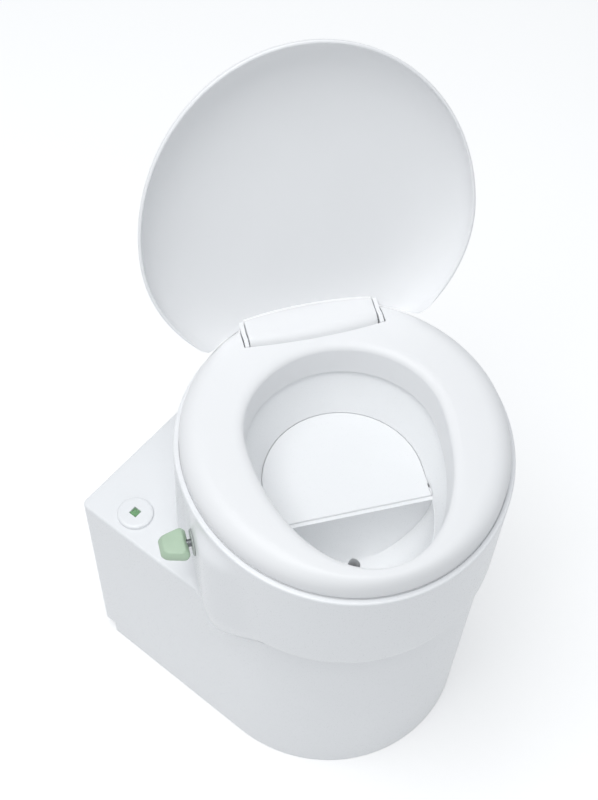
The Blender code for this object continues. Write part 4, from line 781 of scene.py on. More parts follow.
@dataclass(frozen=True)
class Finish:
    """What every finish has: its name, its slot name, its colour, and how its surface varies."""

    name: str
    slot: str
    colour: Colour
    roughness: float
    drift: float = 0.012
    drift_size: float = 0.14
    drift_noise: tuple[float, float] = (3.0, 0.5)
    drift_span: tuple[float, float] = (0.35, 0.62)
    grain_size: float = 0.0012
    grain_depth: float = 0.00004
    grain_shift: float = 0.04
    grain_noise: tuple[float, float] = (4.0, 0.6)
    grain_span: tuple[float, float] = (0.3, 0.7)
    grain_strength: float = 0.25

    def settings(self) -> dict[str, float]:
        """What this kind of finish sets besides its colour and roughness, by the shader's inputs."""
        return {}

    def material(self) -> bpy.types.Material:
        """Builds the material.

        Returns:
            The material.
        """
        material = bpy.data.materials.new(self.name)
        material.use_nodes = True
        material.diffuse_color = (*self.colour, 1.0)
        shader = material.node_tree.nodes["Principled BSDF"]
        sheet = NodeSheet(material.node_tree)
        self.tone(sheet, shader)
        self.grain(sheet, shader)
        for name, value in {"Roughness": self.roughness, **self.settings()}.items():
            shader.inputs[name].default_value = value
        return material

    def noise(self, sheet: NodeSheet, size: float, detail: float, rough: float) -> bpy.types.NodeSocket:
        """Noise that stays with the piece.

        Args:
            sheet: The material's nodes.
            size: How wide a patch is.
            detail: How many finer layers it has.
            rough: How strongly they show.

        Returns:
            Its height.
        """
        place = sheet.add("ShaderNodeTexCoord").outputs["Object"]
        feeds = {"Vector": place, "Scale": 1 / size, "Detail": detail, "Roughness": rough}
        return sheet.add("ShaderNodeTexNoise", feeds).outputs[0]

    def tone(self, sheet: NodeSheet, shader: bpy.types.Node) -> None:
        """Lets the colour drift a little over the surface.

        Args:
            sheet: The material's nodes.
            shader: The shader that takes the colour.
        """
        ramp = sheet.add("ShaderNodeValToRGB", {0: self.noise(sheet, self.drift_size, *self.drift_noise)})
        dark, pale = ramp.color_ramp.elements
        dark.position, pale.position = self.drift_span
        dark.color = (*(c * (1 - self.drift) for c in self.colour), 1)
        pale.color = (*self.colour, 1)
        sheet.tree.links.new(ramp.outputs[0], shader.inputs["Base Color"])

    def grain(self, sheet: NodeSheet, shader: bpy.types.Node) -> None:
        """Gives the surface its fine grain.

        Args:
            sheet: The material's nodes.
            shader: The shader that takes the bump and the roughness.
        """
        fine = self.noise(sheet, self.grain_size, *self.grain_noise)
        start, end = self.grain_span
        low, high = self.roughness - self.grain_shift, self.roughness + self.grain_shift
        feeds = {"Value": fine, "From Min": start, "From Max": end, "To Min": low, "To Max": high}
        spread = sheet.add("ShaderNodeMapRange", feeds)
        feeds = {"Height": fine, "Strength": self.grain_strength, "Distance": self.grain_depth}
        bump = sheet.add("ShaderNodeBump", feeds)
        sheet.tree.links.new(spread.outputs[0], shader.inputs["Roughness"])
        sheet.tree.links.new(bump.outputs[0], shader.inputs["Normal"])


@dataclass(frozen=True)
class MouldedPlastic(Finish):
    """Injection-moulded plastic with a fine, even grain."""

    specular: float = 0.5

    def settings(self) -> dict[str, float]:
        """The plastic's sheen."""
        return {"Specular IOR Level": self.specular}


@dataclass(frozen=True)
class ClearLens(Finish):
    """A clear tinted window with faint polishing marks."""

    drift: float = 0.04
    drift_size: float = 0.006
    grain_size: float = 0.0006
    grain_depth: float = 0.00001
    grain_shift: float = 0.02
    transmission: float = 0.70
    refraction: float = 1.45

    def settings(self) -> dict[str, float]:
        """How light goes through the lens."""
        return {"Transmission Weight": self.transmission, "IOR": self.refraction}


@dataclass(frozen=True)
class TurnedSteel(Finish):
    """Bright steel with fine turning marks."""

    drift: float = 0.08
    drift_size: float = 0.004
    grain_size: float = 0.0005
    grain_depth: float = 0.00002
    grain_shift: float = 0.06

    def settings(self) -> dict[str, float]:
        """The steel's metal."""
        return {"Metallic": 1.0}


@dataclass(frozen=True)
class SoftRubber(Finish):
    """Matt rubber with a dusty bloom."""

    drift: float = 0.12
    drift_size: float = 0.01
    grain_size: float = 0.0009
    grain_depth: float = 0.00008
    grain_shift: float = 0.06
    specular: float = 0.3

    def settings(self) -> dict[str, float]:
        """The rubber's faint sheen."""
        return {"Specular IOR Level": self.specular}


class Wardrobe:
    """Every finish of the toilet, made once and kept by name."""

    SHELL = MouldedPlastic("white_shell", "shell", (0.86, 0.87, 0.885), 0.30)
    SEAT = MouldedPlastic("white_seat", "seat", (0.84, 0.845, 0.855), 0.40, specular=0.36)
    # The lid shares the seat's plastic; this copy is paler than SEAT, painted light that lifts the lid's shaded inner
    # face.
    LID = MouldedPlastic("white_lid_painted_light", "seat", (0.868, 0.874, 0.885), 0.36, specular=0.40)
    BOWL = MouldedPlastic("white_bowl", "bowl", (0.89, 0.90, 0.91), 0.30)
    TRIM = MouldedPlastic("white_trim", "trim", (0.78, 0.79, 0.80), 0.38)
    KNOB = MouldedPlastic("sage_knob", "knob", (0.46, 0.60, 0.45), 0.46, drift=0.05, drift_size=0.02)
    FLAG = MouldedPlastic("flag_green", "flag", (0.10, 0.46, 0.14), 0.50, drift=0.1, drift_size=0.01)
    DARK = MouldedPlastic("dark_plate", "dark", (0.44, 0.475, 0.455), 0.50, drift=0.1, drift_size=0.01)
    TANK = MouldedPlastic("milky_tank", "tank", (0.74, 0.76, 0.755), 0.42, drift=0.05, drift_size=0.08)
    BIN = MouldedPlastic("grey_bin", "bin", (0.30, 0.315, 0.33), 0.45, drift=0.08, drift_size=0.08)
    LENS = ClearLens("clear_lens", "lens", (0.55, 0.96, 0.55), 0.05)
    RUBBER = SoftRubber("grey_rubber", "rubber", (0.26, 0.27, 0.28), 0.70)
    HOSE = SoftRubber("pale_hose", "hose", (0.52, 0.53, 0.54), 0.60)
    STEEL = TurnedSteel("steel_pin", "steel", (0.24, 0.25, 0.26), 0.50)

    def __init__(self) -> None:
        """Starts with no material made."""
        self.made: dict[str, bpy.types.Material] = {}

    def get(self, finish: Finish) -> bpy.types.Material:
        """The material of a finish, made when it is first asked for.

        Args:
            finish: The finish.

        Returns:
            Its material.
        """
        if finish.name not in self.made:
            self.made[finish.name] = finish.material()
        return self.made[finish.name]


class Assembly(Generic[Form]):
    """A group of pieces that are built and dressed together."""

    def __init__(self, wardrobe: Wardrobe, form: Form) -> None:
        """Keeps the finishes and the sizes that the pieces take."""
        self.wardrobe = wardrobe
        self.form = form

    def dress(
        self, solid: Solid, finish: Finish, body: Body, nodes: Sequence[str] = (), sharp: float = 35.0
    ) -> bpy.types.Object:
        """Shades a piece, gives it its finish and hangs it on its body.

        Args:
            solid: The finished shape.
            finish: What it is made of.
            body: The body it moves with.
            nodes: The CAD nodes it stands for.
            sharp: The angle in degrees past which an edge stays sharp.

        Returns:
            The piece.
        """
        obj = solid.obj
        obj.data.materials.clear()
        obj.data.materials.append(self.wardrobe.get(finish))
        obj.data.shade_smooth()
        obj.data.set_sharp_from_angle(angle=math.radians(sharp))
        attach(obj, body.value)
        finish.slot
        if nodes:
            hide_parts(*nodes)
        LOG.info("%s: %d faces on body %s", obj.name, len(obj.data.polygons), body.value)
        return obj

    def merged(self, node: str) -> Solid:
        """A merged copy of a CAD node, with its flat faces whole again.

        Args:
            node: The CAD node's name.

        Returns:
            The copy.
        """
        copy = Solid.of_mesh(node + "_finish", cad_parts[node].data.copy())

        def change(work: bmesh.types.BMesh) -> None:
            """Merges the loose triangles and joins the flat ones."""
            bmesh.ops.remove_doubles(work, verts=work.verts, dist=PLAN.weld)
            bmesh.ops.dissolve_limit(work, angle_limit=math.radians(0.5), verts=work.verts, edges=work.edges)

        return copy.edit(change)

    def carry(self, node: str, finish: Finish, body: Body, bevel: float = 0.0004) -> bpy.types.Object:
        """Keeps a CAD node's form as a smooth piece with rounded edges.

        Args:
            node: The CAD node's name.
            finish: What it is made of.
            body: The body it moves with.
            bevel: How far its edges are rounded.

        Returns:
            The piece.
        """
        piece = self.dress(self.merged(node), finish, body, [node])
        rounding = piece.modifiers.new("Edges", "BEVEL")
        rounding.width = bevel
        rounding.segments = 2
        rounding.limit_method = "ANGLE"
        rounding.angle_limit = math.radians(45)
        rounding.harden_normals = True
        return piece


# Assemblies.


@dataclass
class HousingForm:
    """Sizes of the moulded outer housing."""

    front_centre: float = 0.006
    draft: float = 0.002
    rear_corner: float = 0.008
    shelf_edge: float = 0.003
    notch_height: float = 0.022
    notch_depth: float = 0.020
    rim_edge: float = 0.002
    shoulder_half: float = 0.1725
    shoulder_front: float = 0.1835
    shoulder_rise: float = 0.030
    foot_half: float = 0.166
    foot_front: float = 0.170
    foot_sink: float = 0.010
    fillet: float = 0.015
    least_fillet: float = 0.0006
    ledge_width: float = 0.006
    ledge: float = 0.005
    wall_rings: int = 20
    pad_rear: float = 0.010
    pad_rear_run: float = 0.016
    pad_front: float = 0.069
    pad_front_run: float = 0.048
    pad_foot_reach: float = 0.016
    pad_foot_draw: float = 0.004
    pad_foot_rise: float = 0.036
    pad_side_run: float = 0.036
    pad_top_drop: float = 0.030
    pad_top_run: float = 0.022
    pad_back_out: float = 0.190
    pad_back_sink: float = 0.005
    pad_back_run: float = 0.010
    neck: float = 0.0063
    dial_hole: float = 0.0148
    vent_hole: float = 0.0378


class Housing(Assembly[HousingForm]):
    """The moulded housing: lower body, shelf, drum with its flat for the knob, and the ledge for the bowl."""

    def body_ring(self, inset: float, height: float, rear_inset: float = 0.0) -> Ring:
        """The lower body's U-shaped outline.

        Args:
            inset: How far it is drawn in.
            height: The ring's height.
            rear_inset: How far its rear is drawn in.

        Returns:
            The ring, anticlockwise from the right rear corner.
        """
        half = PLAN.body_half_width - inset
        rear = PLAN.body_rear - rear_inset
        corner = max(self.form.rear_corner - rear_inset, PLAN.touch_gap)
        ring = []
        for centre_x, start in ((half - corner, 0.0), (corner - half, math.pi / 2)):
            for step in range(FACETS.corner + 1):
                angle = start + math.pi / 2 * step / FACETS.corner
                spot = (centre_x + corner * math.cos(angle), rear - corner + corner * math.sin(angle), height)
                ring.append(Vector(spot))
        for step in range(FACETS.arc + 1):
            angle = math.pi + math.pi * step / FACETS.arc
            spot = (half * math.cos(angle), half * math.sin(angle) - self.form.front_centre, height)
            ring.append(Vector(spot))
        return ring

    def body_reach(self, direction: float) -> float:
        """How far the shelf's outline lies from the bowl's axis.

        Args:
            direction: The way it is measured, as an angle in plan.

        Returns:
            The distance.
        """
        half = PLAN.body_half_width - self.form.draft
        along_x, along_y = math.cos(direction), math.sin(direction)
        if along_y > 0:
            reaches = [PLAN.body_rear / along_y]
            if along_x:
                reaches.append(half / abs(along_x))
            return min(reaches)
        forward = -along_y * self.form.front_centre
        return forward + math.sqrt(max(forward**2 - self.form.front_centre**2 + half**2, 0))

    def lower_body(self) -> Solid:
        """The lower body up to the shelf, with its rounded top edge.

        Returns:
            The solid.
        """
        form = self.form
        rings = [self.body_ring(0, 0)]
        for sine, cosine in quarter(FACETS.corner):
            inward = form.shelf_edge * (1 - cosine)
            rings.append(self.body_ring(form.draft + inward, PLAN.shelf - form.shelf_edge * (1 - sine), inward))
        return Solid.loft("housing_shell", rings)

    def drum_column(self, angle: float) -> list[tuple[Vector, float]]:
        """The drum's outside above one spot of its foot.

        Args:
            angle: Where on the drum.

        Returns:
            Places in plan with their heights, from the sunk foot to the rim.
        """
        form = self.form
        foot = Outline.egg_point(form.foot_half, form.foot_front, form.foot_half, angle)
        wide = Outline.egg_point(form.shoulder_half, form.shoulder_front, form.shoulder_half, angle)
        top = Outline.egg_point(PLAN.rim_half_width, PLAN.rim_front, PLAN.rim_half_width, angle)
        outward = foot.normalized()
        reach = self.body_reach(math.atan2(foot.y, foot.x) + PLAN.bowl_turn)
        fillet = min(form.fillet, max(reach - form.shelf_edge - foot.length, form.least_fillet))
        column = [(foot - outward * form.foot_sink, PLAN.shelf - form.foot_sink)]
        for sine, cosine in quarter(FACETS.corner):
            height = PLAN.shelf + fillet * (1 - cosine)
            column.append((self.flattened(foot, height) + outward * fillet * (1 - sine), height))
        for step in range(1, FACETS.corner + 1):
            share = step / FACETS.corner
            height = PLAN.shelf + fillet + (form.shoulder_rise - fillet) * share
            column.append((self.flattened(foot.lerp(wide, math.sin(math.pi / 2 * share)), height), height))
        low, high = PLAN.shelf + form.shoulder_rise, PLAN.rim - form.rim_edge
        for step in range(1, form.wall_rings):
            share = step / form.wall_rings
            height = low + (high - low) * share
            column.append((self.flattened(wide.lerp(top, share), height), height))
        for sine, cosine in quarter(FACETS.corner):
            inward = form.rim_edge * (1 - cosine)
            column.append((top - top.normalized() * inward, PLAN.rim - form.rim_edge * (1 - sine)))
        return column

    def flattened(self, place: Vector, height: float) -> Vector:
        """Draws a spot of the drum's wall towards the knob pad's flat face, where the pad is.

        Args:
            place: The spot in plan.
            height: Its height.

        Returns:
            The spot, moved.
        """
        form = self.form
        if place.x > 0:
            return place
        front = form.pad_front + form.pad_foot_reach * (PLAN.rim - height) / (PLAN.rim - PLAN.shelf)
        ahead = blend_step(-front - form.pad_front_run, -front, place.y)
        behind = 1 - blend_step(-form.pad_rear, form.pad_rear_run - form.pad_rear, place.y)
        below = 1 - blend_step(PLAN.rim - form.pad_top_drop, PLAN.rim - form.pad_top_drop + form.pad_top_run, height)
        share = ahead * behind * below
        drawn = form.pad_foot_draw * (1 - blend_step(PLAN.shelf, PLAN.shelf + form.pad_foot_rise, height))
        return Vector((place.x + (drawn - PLAN.pad_face - place.x) * share, place.y))

    def drum(self) -> Solid:
        """The drum with its flattened side for the knob, turned into place.

        Returns:
            The solid.
        """
        columns = [self.drum_column(turn) for turn in EGG_TURNS]
        rings = [[Vector((p.x, p.y, z)) for p, z in level] for level in zip(*columns)]
        return Solid.loft("drum", rings).turn_to_bowl()

    def lower_cavity(self) -> Solid:
        """The space inside the lower body, which follows the skirting notch.

        Returns:
            The solid to cut with.
        """
        form, wall = self.form, PLAN.body_wall
        rings = [self.body_ring(wall, -PLAN.overrun, wall), self.body_ring(wall + form.draft, PLAN.shelf - wall, wall)]
        low = (-PLAN.body_half_width - PLAN.overrun, PLAN.body_rear - form.notch_depth - wall, -2 * PLAN.overrun)
        high = (PLAN.body_half_width + PLAN.overrun, PLAN.body_rear + PLAN.overrun, form.notch_height + wall)
        return Solid.loft("cavity", rings).cut(Solid.block("notch_back", low, high))

    def drum_cavity(self, low: float, high: float) -> Solid:
        """The space inside the drum.

        Args:
            low: Where it starts.
            high: Where it ends, under the ledge.

        Returns:
            The solid to cut with.
        """
        form, wall = self.form, PLAN.body_wall
        sizes = (
            (form.foot_half, form.foot_front, low),
            (form.foot_half, form.foot_front, PLAN.shelf + form.fillet),
            (form.shoulder_half, form.shoulder_front, PLAN.shelf + form.shoulder_rise + wall),
            (PLAN.rim_half_width, PLAN.rim_front, high),
        )
        rings = [Outline.egg(half - wall, front - wall, half - wall, height) for half, front, height in sizes]
        back = PLAN.pad_face - form.pad_back_sink - wall
        top = PLAN.rim - form.pad_top_drop + form.pad_top_run + wall
        corner = (-form.pad_back_out, -form.pad_front - form.pad_side_run, low - PLAN.overrun)
        pad_back = Solid.block("pad_back", corner, (-back, form.pad_back_run + wall, top))
        return Solid.loft("drum_cavity", rings).cut(pad_back).turn_to_bowl()

    def rim_cut(self, inset: float, low: float) -> Solid:
        """A straight egg-shaped cut through the drum's top.

        Args:
            inset: How far it is drawn in from the rim's outline.
            low: Where it starts.

        Returns:
            The solid to cut with.
        """
        half, front = PLAN.rim_half_width - inset, PLAN.rim_front - inset
        heights = (low, PLAN.rim + PLAN.overrun)
        return Solid.loft("rim_cut", [Outline.egg(half, front, half, z) for z in heights]).turn_to_bowl()

    def build(self) -> None:
        """Builds and dresses the housing."""
        form = self.form
        over = PLAN.overrun
        low = (-PLAN.body_half_width - over, PLAN.body_rear - form.notch_depth, -over)
        high = (PLAN.body_half_width + over, PLAN.body_rear + over, form.notch_height)
        housing = self.lower_body().cut(Solid.block("notch", low, high)).join(self.drum())
        under = PLAN.rim - PLAN.flange - PLAN.touch_gap
        housing.cut(self.lower_cavity())
        housing.cut(self.drum_cavity(PLAN.shelf - PLAN.body_wall - over, under - form.ledge))
        housing.cut(self.rim_cut(PLAN.lip_width + form.ledge_width, under - form.ledge - over))
        housing.cut(self.rim_cut(PLAN.lip_width, under))
        ends = (-PLAN.pad_face - over, -PLAN.pad_root)
        housing.cut(Solid.rod("pad_bore", form.neck, ends, PLAN.flap_axis).turn_to_bowl())
        ends = (PLAN.shelf - PLAN.body_wall - over, PLAN.shelf + over)
        housing.cut(Solid.rod("dial_hole", form.dial_hole, ends, PLAN.dial_axis, FACETS.dial, Along.Z))
        ends = (PLAN.body_rear - PLAN.body_wall - over, PLAN.body_rear + over)
        housing.cut(Solid.rod("vent_hole", form.vent_hole, ends, PLAN.vent_axis, FACETS.dial, Along.Y))
        self.dress(housing, Wardrobe.SHELL, Body.COVER, ["housing"])


@dataclass
class BowlForm:
    """Sizes of the bowl moulding."""

    wall: float = 0.0035
    mouth_half: float = 0.107
    mouth_front: float = 0.165
    mouth_rear: float = 0.099
    chute_reach: float = 0.048
    funnel_front: float = 0.140
    step: float = 0.0004
    overlap: float = 0.002
    divider: float = 0.004
    divider_round: float = 0.0034
    divider_slack: float = 0.006
    divider_least: float = 0.02
    drain_bore: float = 0.0065
    spigot_wall: float = 0.0022
    spigot_length: float = 0.018
    drain_share: float = 0.15
    bend_share: float = 1.3
    square_share: float = 0.8
    levels: int = 14


class Bowl(Assembly[BowlForm]):
    """The bowl that hangs in the drum: flange, funnel, chute, urine bowl and drain spigot."""

    def funnel(self, grow: float, top: float) -> list[Ring]:
        """Rings of the funnel from its mouth to the flap's level.

        Args:
            grow: How far they are grown outwards.
            top: The height of the first ring.

        Returns:
            The rings.
        """
        form = self.form
        rings = [Outline.egg(form.mouth_half + grow, form.mouth_front + grow, form.mouth_rear + grow, top)]
        foot = PLAN.chute_half_width + form.step
        for level in range(form.levels + 1):
            share = level / form.levels
            drawn = share**form.bend_share
            half = form.mouth_half + (foot - form.mouth_half) * drawn + grow
            front_foot = form.funnel_front + form.step - PLAN.flap_setback
            front = form.mouth_front + (front_foot - form.mouth_front) * drawn + grow
            rear = form.mouth_rear + (foot - form.mouth_rear) * drawn + grow
            height = PLAN.rim + (PLAN.flap_level - PLAN.rim) * share
            if height < top:
                square = 1 - (1 - form.square_share) * drawn
                rings.append(Outline.egg(half, front, rear, height, PLAN.flap_setback * drawn, square))
        return rings

    def chute(self, grow: float, heights: Sequence[float]) -> list[Ring]:
        """Rings of the chute at these heights, grown outwards."""
        return [Outline.chute(grow, z, PLAN.chute_front) for z in heights]

    def urine_bowl(self, grow: float, rise: float) -> list[Ring]:
        """Rings of the urine bowl, from the flap's level down to its drain.

        Args:
            grow: How far they are grown outwards.
            rise: How far the first ring lies above the flap's level.

        Returns:
            The rings.
        """
        form = self.form
        half = PLAN.chute_half_width + grow
        front = form.funnel_front - PLAN.flap_setback + grow
        divider_front = PLAN.chute_front + form.divider
        start = math.asin(((divider_front - grow - PLAN.flap_setback) / front) ** (1 / form.square_share))
        outline = []
        for step in range(FACETS.arc + 1):
            angle = -start - (math.pi - 2 * start) * step / FACETS.arc
            spot = Outline.egg_point(half, front, half, angle, PLAN.flap_setback, form.square_share)
            outline.append(spot.to_3d())
        centre = Vector((0, -PLAN.drain_setback, 0))
        rings = [[p + Vector((0, 0, PLAN.flap_level + rise)) for p in outline]]
        for sine, cosine in quarter(FACETS.arc // 3):
            share = form.drain_share + (1 - form.drain_share) * cosine
            height = PLAN.drain - grow + (PLAN.flap_level - PLAN.drain) * (1 - sine)
            rings.append([centre.lerp(p, share) + Vector((0, 0, height)) for p in outline])
        return rings

    def build(self) -> None:
        """Builds and dresses the bowl."""
        form = self.form
        over = PLAN.overrun
        half = PLAN.rim_half_width - PLAN.lip_width - PLAN.touch_gap
        front = PLAN.rim_front - PLAN.lip_width - PLAN.touch_gap
        heights = (PLAN.rim - PLAN.flange, PLAN.rim)
        bowl = Solid.loft("bowl_moulding", [Outline.egg(half, front, half, z) for z in heights])
        bowl.join(Solid.loft("funnel_skin", self.funnel(form.wall, PLAN.rim - PLAN.flange / 2)))
        bowl.join(Solid.loft("urine_skin", self.urine_bowl(form.wall, form.overlap)))
        foot = PLAN.shelf - form.chute_reach
        top = PLAN.flap_level + 2 * form.overlap
        bowl.join(Solid.loft("chute_skin", self.chute(form.wall, (foot, top))))
        end = PLAN.drain - form.wall - form.spigot_length
        drain = (0, -PLAN.drain_setback, 0)
        bowl.join(Solid.rod("spigot", form.drain_bore + form.spigot_wall, (end, PLAN.drain), drain, axis=Along.Z))
        bowl.cut(Solid.loft("funnel_hollow", self.funnel(0, PLAN.rim + over)))
        bowl.cut(Solid.loft("urine_hollow", self.urine_bowl(0, form.overlap)))
        bowl.cut(Solid.loft("chute_hollow", self.chute(0, (foot - over, top))))
        bowl.cut(Solid.rod("drain_bore", form.drain_bore, (end - over, PLAN.drain + over), drain, axis=Along.Z))
        reach = PLAN.chute_half_width + form.wall + over
        hole = PLAN.shaft_bore + PLAN.bush_wall + PLAN.touch_gap
        bowl.cut(Solid.rod("shaft_hole", hole, (-reach, reach), PLAN.flap_axis))
        divider = -(PLAN.chute_front + form.divider)

        def at_divider(edge: bmesh.types.BMEdge) -> bool:
            """Whether a sharp edge runs along the top of the wall between the chute and the urine bowl."""
            in_line = all(abs(vert.co.y - divider) < PLAN.touch_gap for vert in edge.verts)
            level = all(abs(vert.co.z - PLAN.flap_level) < form.divider_slack for vert in edge.verts)
            return in_line and level and edge.calc_length() > form.divider_least and is_sharp(edge)

        bowl.soften(form.divider_round, at_divider)
        self.dress(bowl.turn_to_bowl(), Wardrobe.BOWL, Body.COVER, ["bowl"])


@dataclass
class DriveForm:
    """Sizes of the flap, its plate and its knob."""

    thickness: float = 0.004
    edge_gap: float = 0.0004
    bush_flange: float = 0.0015
    bush_radius: float = 0.009
    plate_radius: float = 0.014
    plate: float = 0.0016
    plate_edge: tuple[tuple[float, float], ...] = ((0.6, 1.0), (0.15, 0.8), (0.0, 0.4))
    plate_neck: float = 0.012
    knob_gap: float = 0.0039
    knob_edge: float = 0.0014
    knob_length: float = 0.029
    knob_root: float = 0.0185
    knob_tip: float = 0.009
    knob_thickness: float = 0.016
    knob_bevel: float = 0.0038
    knob_drop: float = 0.0062
    knob_run: float = 0.004
    knob_socket: float = 0.013


class FlapDrive(Assembly[DriveForm]):
    """The flap with its barrel, the shaft, the bushes, the round plate and the wing knob."""

    def flap(self) -> Solid:
        """The flap, with the barrel along its straight front edge.

        Returns:
            The solid, in the bowl frame.
        """
        form, axis = self.form, PLAN.flap_axis
        edge = form.edge_gap
        low, high = PLAN.flap_level - form.thickness, PLAN.flap_level
        slope = form.thickness / 4
        sections = ((edge + slope, low), (edge, low + slope), (edge, high - slope), (edge + slope, high))
        flap = Solid.loft("flap_plate", [Outline.chute(-inset, z, PLAN.flap_front) for inset, z in sections])
        half = PLAN.chute_half_width - edge
        barrel = half - form.bush_flange
        flap.join(Solid.rod("barrel", PLAN.barrel_radius, (-barrel, barrel), axis))
        reach = half + PLAN.overrun
        flap.cut(Solid.rod("barrel_bore", PLAN.shaft_bore, (-reach, reach), axis))
        for side in (-1, 1):
            ends = sorted((side * barrel, side * reach))
            low_corner = (ends[0], axis.y - form.bush_radius, axis.z - form.bush_radius)
            high_corner = (ends[1], axis.y + form.bush_radius + edge, PLAN.rim)
            flap.cut(Solid.block("bush_space", low_corner, high_corner))
        return flap

    def plate(self) -> Solid:
        """The thin round plate that carries the shaft in the knob pad.

        Returns:
            The solid, in the bowl frame.
        """
        form = self.form
        face = PLAN.pad_face + PLAN.touch_gap
        neck = form.plate_neck / 2
        profile = [(form.plate_radius - form.plate * drawn, -face - form.plate * out) for drawn, out in form.plate_edge]
        profile += [(form.plate_radius, -face), (neck, -face), (neck, -PLAN.rim_half_width + 3 * PLAN.body_wall)]
        plate = Solid.turned("shaft_plate", profile, PLAN.flap_axis, FACETS.dial, Along.X)
        ends = (-face - form.plate - PLAN.overrun, -PLAN.pad_root)
        return plate.cut(Solid.rod("plate_bore", PLAN.shaft_bore, ends, PLAN.flap_axis))

    def knob_outline(self, inset: float) -> list[tuple[float, float]]:
        """The knob's wing outline in plan.

        Args:
            inset: How far it is drawn in.

        Returns:
            The corners, as length from the shaft's end and width.
        """
        form = self.form
        root, tip = form.knob_root - inset, form.knob_tip - inset / 2
        length, run = form.knob_length - inset, form.knob_run
        half = [(inset, root - run), (inset + run, root), (length - run, tip + run), (length, tip)]
        return half + [(x, -y) for x, y in reversed(half)]

    def knob(self) -> Solid:
        """The wing knob, with rounded edges and a socket for the shaft.

        Returns:
            The solid, in the bowl frame.
        """
        form, axis = self.form, PLAN.flap_axis
        start = PLAN.pad_face + form.plate + form.knob_gap
        half = form.knob_thickness / 2
        edge = half - form.knob_drop
        rings = []
        for inset, height in ((form.knob_bevel, -half), (0.0, -edge), (0.0, edge), (form.knob_bevel, half)):
            corners = self.knob_outline(inset)
            rings.append([Vector((-start - x, axis.y + y, axis.z + height)) for x, y in corners])
        knob = Solid.loft("wing_knob", rings).soften(form.knob_edge, lambda edge: True, 4)
        ends = (-start - form.knob_socket, -start + PLAN.overrun)
        return knob.cut(Solid.rod("knob_socket", PLAN.shaft_bore, ends, axis))

    def build(self) -> None:
        """Builds and dresses the flap and its drive."""
        self.dress(self.flap().turn_to_bowl(), Wardrobe.BOWL, Body.FLAP, ["flap"])
        self.dress(self.plate().turn_to_bowl(), Wardrobe.DARK, Body.COVER, ["escutcheon"])
        self.dress(self.knob().turn_to_bowl(), Wardrobe.KNOB, Body.FLAP, ["knob"], sharp=60)
        self.carry("flap_shaft", Wardrobe.STEEL, Body.FLAP)
        for node in ("flap_bush_left", "flap_bush_right"):
            self.carry(node, Wardrobe.TRIM, Body.COVER, bevel=0.0003)


@dataclass
class SeatForm:
    """Sizes of the seat ring and of the hinge bar that closes its notch."""

    half: float = 0.164
    front: float = 0.178
    hole_half: float = 0.0995
    hole_front: float = 0.160
    hole_rear: float = 0.093
    hole_taper: float = 0.002
    skirt: float = 0.006
    crown: float = 0.025
    shoulder_run: float = 0.024
    inner_run: float = 0.012
    inner_drop: float = 0.007
    wall: float = 0.004
    collar_drop: float = 0.011
    edge: float = 0.0006
    skirt_drop: float = 0.0012
    bar_top: float = 0.0295
    bar_radius: float = 0.0145
    bar_half: float = 0.068
    bar_front: float = 0.109
    bar_front_bow: float = 0.0037
    bar_rear: float = 0.1515
    bar_bow: float = 0.0055
    bar_edge: float = 0.0015
    bar_end: float = 0.0008
    bar_wall: float = 0.004
    bar_floor: float = 0.003
    bar_gap: float = 0.0008
    ear: float = 0.0042
    ear_gap: float = 0.0014
    pin_bore: float = 0.0023
    pin_depth: float = 0.008
    lug: float = 0.0066
    inset: float = 0.0005
    axis_setback: float = 0.157
    axis_rise: float = 0.006
    knuckle: float = 0.0052
    knuckle_inner: float = 0.030
    knuckle_length: float = 0.012
    hinge_bore: float = 0.0028
    buffer_radius: float = 0.008
    boss_wall: float = 0.0015
    buffer_angles: tuple[float, ...] = (40.0, 140.0, 218.0, 322.0)

    @property
    def slot(self) -> float:
        """How far from the middle the slots for the lid's ears end."""
        return self.bar_half + self.ear + 2 * self.ear_gap

    @property
    def hinge_axis(self) -> Vector:
        """A point of the seat's hinge axis, in the bowl frame."""
        return Vector((0, self.axis_setback, PLAN.rim + self.axis_rise))


